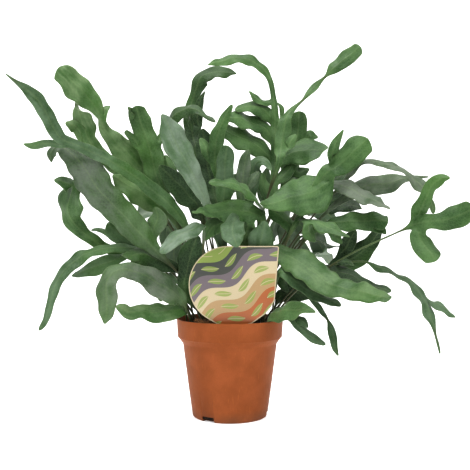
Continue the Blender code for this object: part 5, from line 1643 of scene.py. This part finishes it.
class LeafSettings(bpy.types.PropertyGroup):
    """Form and finish of the fronds."""

    edge: length_setting("Edge thickness", 0.55, "Thickness of a blade at its margin")
    ruffle: length_setting("Ruffle height", 1.5, "Height of the small waves along a blade's margin")
    ruffle_length: length_setting("Ruffle length", 23.0, "Length of the small waves along a blade's margin")
    buckle: length_setting("Buckling", 3.0, "Height of the slow unevenness of a blade")
    gloss: number_setting("Roughness", 0.42, "Roughness where the wax is bare", subtype="FACTOR")
    yellowing: colour_setting("Yellowing", "3F6422", "Warmer green of older parts")
    vein_colour: colour_setting("Veins", "5F7B50", "Colour of the netted veins")
    rib_colour: colour_setting("Ribs", "78895C", "Colour of the midrib, side ribs and margin")
    stem_colour: colour_setting("Stems", "434A2B", "Colour of the bare stems")
    stem_shade: colour_setting("Stem streaks", "3C3A24", "Browner streaks on the bare stems")


class PotSettings(bpy.types.PropertyGroup):
    """Form and finish of the pot."""

    lip: length_setting("Lip rounding", 0.5, "Radius of the rounding on the pot's lip")
    gloss: number_setting("Roughness", 0.46, "Roughness of the clean plastic", subtype="FACTOR")
    colour: colour_setting("Plastic", "8B502C", "Colour of the plastic")
    shade: colour_setting("Mottling", "804825", "Darker clouds in the plastic")
    scuff: colour_setting("Scuffs", "A36639", "Colour of the fine scuffs")
    dust: colour_setting("Soil dust", "6E4A34", "Colour of soil dust low on the pot")


class SoilSettings(bpy.types.PropertyGroup):
    """Form and finish of the potting soil."""

    lump_height: length_setting("Lump height", 1.7, "Height of the lumps of the soil's top")
    crumb_size: length_setting("Crumb size", 4.2, "Size of the largest loose crumbs")
    crumbs: bpy.props.IntProperty(
        name="Crumbs", description="Number of loose crumbs on the soil", default=420, min=0, max=2000
    )
    damp: colour_setting("Damp peat", "1A120C", "Colour of damp peat")
    dry: colour_setting("Dry peat", "3C2A1E", "Colour of dry peat and fibre")


class RhizomeSettings(bpy.types.PropertyGroup):
    """Form and finish of the rhizomes."""

    scale_length: length_setting("Scale length", 4.5, "Length of the papery scales")
    scales: bpy.props.IntProperty(
        name="Scales", description="Number of scales on each rhizome", default=420, min=0, max=3000
    )
    skin: colour_setting("Skin", "4A3220", "Colour of the skin under the scales")
    scale: colour_setting("Scales", "9A6E3E", "Colour of the papery scales")


class LabelSettings(bpy.types.PropertyGroup):
    """Form and print of the label."""

    thickness: length_setting("Thickness", 0.7, "Thickness of the tag's sheet")
    border: length_setting("Border", 1.1, "Width of the unprinted border")
    orange: colour_setting("Orange ink", "9C5A2D", "First ribbon")
    peach: colour_setting("Peach ink", "A08660", "Second ribbon")
    cream: colour_setting("Cream ink", "B3A68A", "Third ribbon and border")
    mauve: colour_setting("Grey-mauve ink", "6A6165", "Fourth ribbon")
    slate: colour_setting("Slate ink", "42453F", "Fifth ribbon")
    leaf: colour_setting("Leaf ink", "7F9048", "Sixth ribbon and ovals")


class StageSettings(bpy.types.PropertyGroup):
    """Floor and lights of the plain studio."""

    floor: colour_setting("Paper", "FAFAFA", "Colour of the studio paper")
    glow: number_setting("Paper glow", 0.3, "Light passing through the paper from behind", high=10.0)
    key: number_setting("Key light", 11.0, "Power of the large front light", high=1000.0, subtype="POWER")
    fill: number_setting("Fill light", 3.0, "Power of the side light", high=1000.0, subtype="POWER")
    top: number_setting("Top light", 21.0, "Power of the light overhead", high=1000.0, subtype="POWER")
    world: number_setting("Surround", 0.55, "Strength of the white surround", high=10.0)
    exposure: number_setting("Exposure", 0.5, "Exposure of the picture, in stops", low=-5.0, high=5.0)
    gamma: number_setting("Gamma", 0.82, "Below one it deepens the shade", low=0.2, high=3.0)


def make_paper():
    """Studio paper that sweeps from the floor up behind the plant on a wide bend."""
    form = bmesh.new()
    section = [(PAPER_FRONT, 0.0), (BEND_START, 0.0)]
    for step in range(1, BEND_STEPS + 1):
        turn = step / BEND_STEPS * math.pi / 2
        back, up = BEND_RADIUS * math.sin(turn), BEND_RADIUS * (1 - math.cos(turn))
        section.append((BEND_START + back, up))
    section.append((BEND_START + BEND_RADIUS, PAPER_TOP))
    ends = (-PAPER_HALF_WIDTH, PAPER_HALF_WIDTH)
    rows = [[form.verts.new((x, y, z)) for x in ends] for y, z in section]
    for one, two in zip(rows, rows[1:]):
        form.faces.new((one[0], one[1], two[1], two[0])).smooth = True
    mesh = finished_mesh("studio_paper", form)
    mesh.materials.append(backdrop_material())
    paper = bpy.data.objects.new("studio_paper", mesh)
    bpy.context.scene.collection.objects.link(paper)


class FERN_OT_stage(bpy.types.Operator):
    """Set the camera, the paper backdrop and the soft lights"""

    bl_idname = "fern.stage"
    bl_label = "Stage"

    def execute(self, context):
        scene = context.scene
        settings = scene.fern_stage
        camera = bpy.data.objects.new("camera", bpy.data.cameras.new("camera"))
        camera.data.lens = FOCAL_LENGTH
        camera.data.sensor_width = SENSOR_WIDTH
        camera.data.sensor_fit = "HORIZONTAL"
        camera.data.clip_end = CAMERA_REACH
        camera.location = (VIEW_X * MM, -VIEW_DISTANCE * MM, VIEW_Z * MM)
        camera.rotation_euler = (math.pi / 2, 0, 0)
        scene.collection.objects.link(camera)
        scene.camera = camera
        make_paper()
        for name, (place, size) in LAMPS.items():
            light = bpy.data.lights.new(name, "AREA")
            light.energy = getattr(settings, name)
            light.size = size
            lamp = bpy.data.objects.new(name, light)
            lamp.location = place
            aim = Vector(LAMP_TARGET) - Vector(place)
            lamp.rotation_euler = aim.to_track_quat("-Z", "Y").to_euler()
            scene.collection.objects.link(lamp)
        world = bpy.data.worlds.new("studio")
        world.use_nodes = True
        sky = world.node_tree.nodes["Background"]
        sky.inputs["Color"].default_value = (1.0, 1.0, 1.0, 1.0)
        sky.inputs["Strength"].default_value = settings.world
        scene.world = world
        scene.view_settings.view_transform = "Standard"
        scene.view_settings.exposure = settings.exposure
        scene.view_settings.gamma = settings.gamma
        return {"FINISHED"}


class FERN_OT_pot(bpy.types.Operator):
    """Build the moulded nursery pot"""

    bl_idname = "fern.pot"
    bl_label = "Pot"

    def execute(self, context):
        settings = context.scene.fern_pot
        mesh = turned("moulded_pot", pot_profile(settings.lip / MM), POT_SEGMENTS)
        pot = add_piece("moulded_pot", mesh, [pot_material()], node="pot")
        cut_drains(pot)
        return {"FINISHED"}


class FERN_OT_soil(bpy.types.Operator):
    """Give the packed soil its finish, and build its crumbly top"""

    bl_idname = "fern.soil"
    bl_label = "Soil"

    def execute(self, context):
        settings = context.scene.fern_soil
        pressed = peat_material("pressed_peat")
        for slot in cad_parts["soil"].material_slots:
            slot.material = pressed
        make_soil_skin(pressed, peat_material("loose_peat"), settings)
        return {"FINISHED"}


class FERN_OT_rhizomes(bpy.types.Operator):
    """Build the scaly rhizomes on the soil"""

    bl_idname = "fern.rhizomes"
    bl_label = "Rhizomes"

    def execute(self, context):
        finish = rhizome_material()
        for node in RHIZOMES:
            make_rhizome("scaly_" + node, node, finish, context.scene.fern_rhizome)
        return {"FINISHED"}


class FERN_OT_label(bpy.types.Operator):
    """Build the printed plant label"""

    bl_idname = "fern.label"
    bl_label = "Label"

    def execute(self, context):
        settings = context.scene.fern_label
        mesh = make_label_mesh(settings.thickness / MM, settings.border / MM)
        add_piece("printed_tag", mesh, [label_material()], node="label")
        return {"FINISHED"}


class FERN_OT_fronds(bpy.types.Operator):
    """Build every frond as a thin ribbed blade on its stem"""

    bl_idname = "fern.fronds"
    bl_label = "Fronds"

    def execute(self, context):
        settings = context.scene.fern_leaf
        style = {key: getattr(settings, key) / MM for key in ("edge", "ruffle", "ruffle_length", "buckle")}
        finishes = {}
        for look, (upper, patch, underside) in LOOKS.items():
            finishes[look] = [
                leaf_material(look + "_frond_upper_side", upper, patch, None),
                leaf_material(look + "_frond_underside", upper, patch, underside),
            ]
        looks = {short: look for look, names in LOOK_OF.items() for short in names}
        for node, row in FRONDS.items():
            short = node.removeprefix("frond_")
            mesh = finished_mesh("blade_" + short, frond_form(node, row, style))
            finish = finishes[looks.get(short, "blue_green")]
            blade = add_piece("blade_" + short, mesh, finish, node=node)
            blade.vertex_groups.new(name="thickness")
            shell = blade.modifiers.new("thickness", "SOLIDIFY")
            shell.thickness = STEM_THICKNESS * MM
            shell.vertex_group = "thickness"
            shell.offset = 0.0
            shell.material_offset = 1
            shell.edge_crease_outer = 1.0
            shell.edge_crease_inner = 1.0
            smooth = blade.modifiers.new("smooth", "SUBSURF")
            smooth.levels = 1
            smooth.render_levels = 1
        return {"FINISHED"}


class FERN_PT_build(bpy.types.Panel):
    """Buttons that build the potted fern, piece by piece"""

    bl_idname = "FERN_PT_build"
    bl_label = "Potted fern"
    bl_space_type = "VIEW_3D"
    bl_region_type = "UI"
    bl_category = "Fern"

    def draw(self, context):
        for group, operator in PIECES:
            box = self.layout.box()
            box.operator(operator)
            settings = getattr(context.scene, group)
            for key in settings.__annotations__:
                box.prop(settings, key)


PIECES = (
    ("fern_stage", "fern.stage"),
    ("fern_pot", "fern.pot"),
    ("fern_soil", "fern.soil"),
    ("fern_rhizome", "fern.rhizomes"),
    ("fern_label", "fern.label"),
    ("fern_leaf", "fern.fronds"),
)
GROUPS = {
    "fern_stage": StageSettings,
    "fern_pot": PotSettings,
    "fern_soil": SoilSettings,
    "fern_rhizome": RhizomeSettings,
    "fern_label": LabelSettings,
    "fern_leaf": LeafSettings,
}
OPERATORS = (
    FERN_OT_stage, FERN_OT_pot, FERN_OT_soil, FERN_OT_rhizomes, FERN_OT_label, FERN_OT_fronds, FERN_PT_build,
)


def register():
    for group in GROUPS.values():
        bpy.utils.register_class(group)
    for made in OPERATORS:
        bpy.utils.register_class(made)
    for key, group in GROUPS.items():
        setattr(bpy.types.Scene, key, bpy.props.PointerProperty(type=group))


def unregister():
    for key in GROUPS:
        delattr(bpy.types.Scene, key)
    for made in reversed(OPERATORS):
        bpy.utils.unregister_class(made)
    for group in reversed(GROUPS.values()):
        bpy.utils.unregister_class(group)


def main():
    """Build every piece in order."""
    register()
    bpy.ops.fern.stage()
    bpy.ops.fern.pot()
    bpy.ops.fern.soil()
    bpy.ops.fern.rhizomes()
    bpy.ops.fern.label()
    bpy.ops.fern.fronds()


if __name__ == "__main__":
    main()
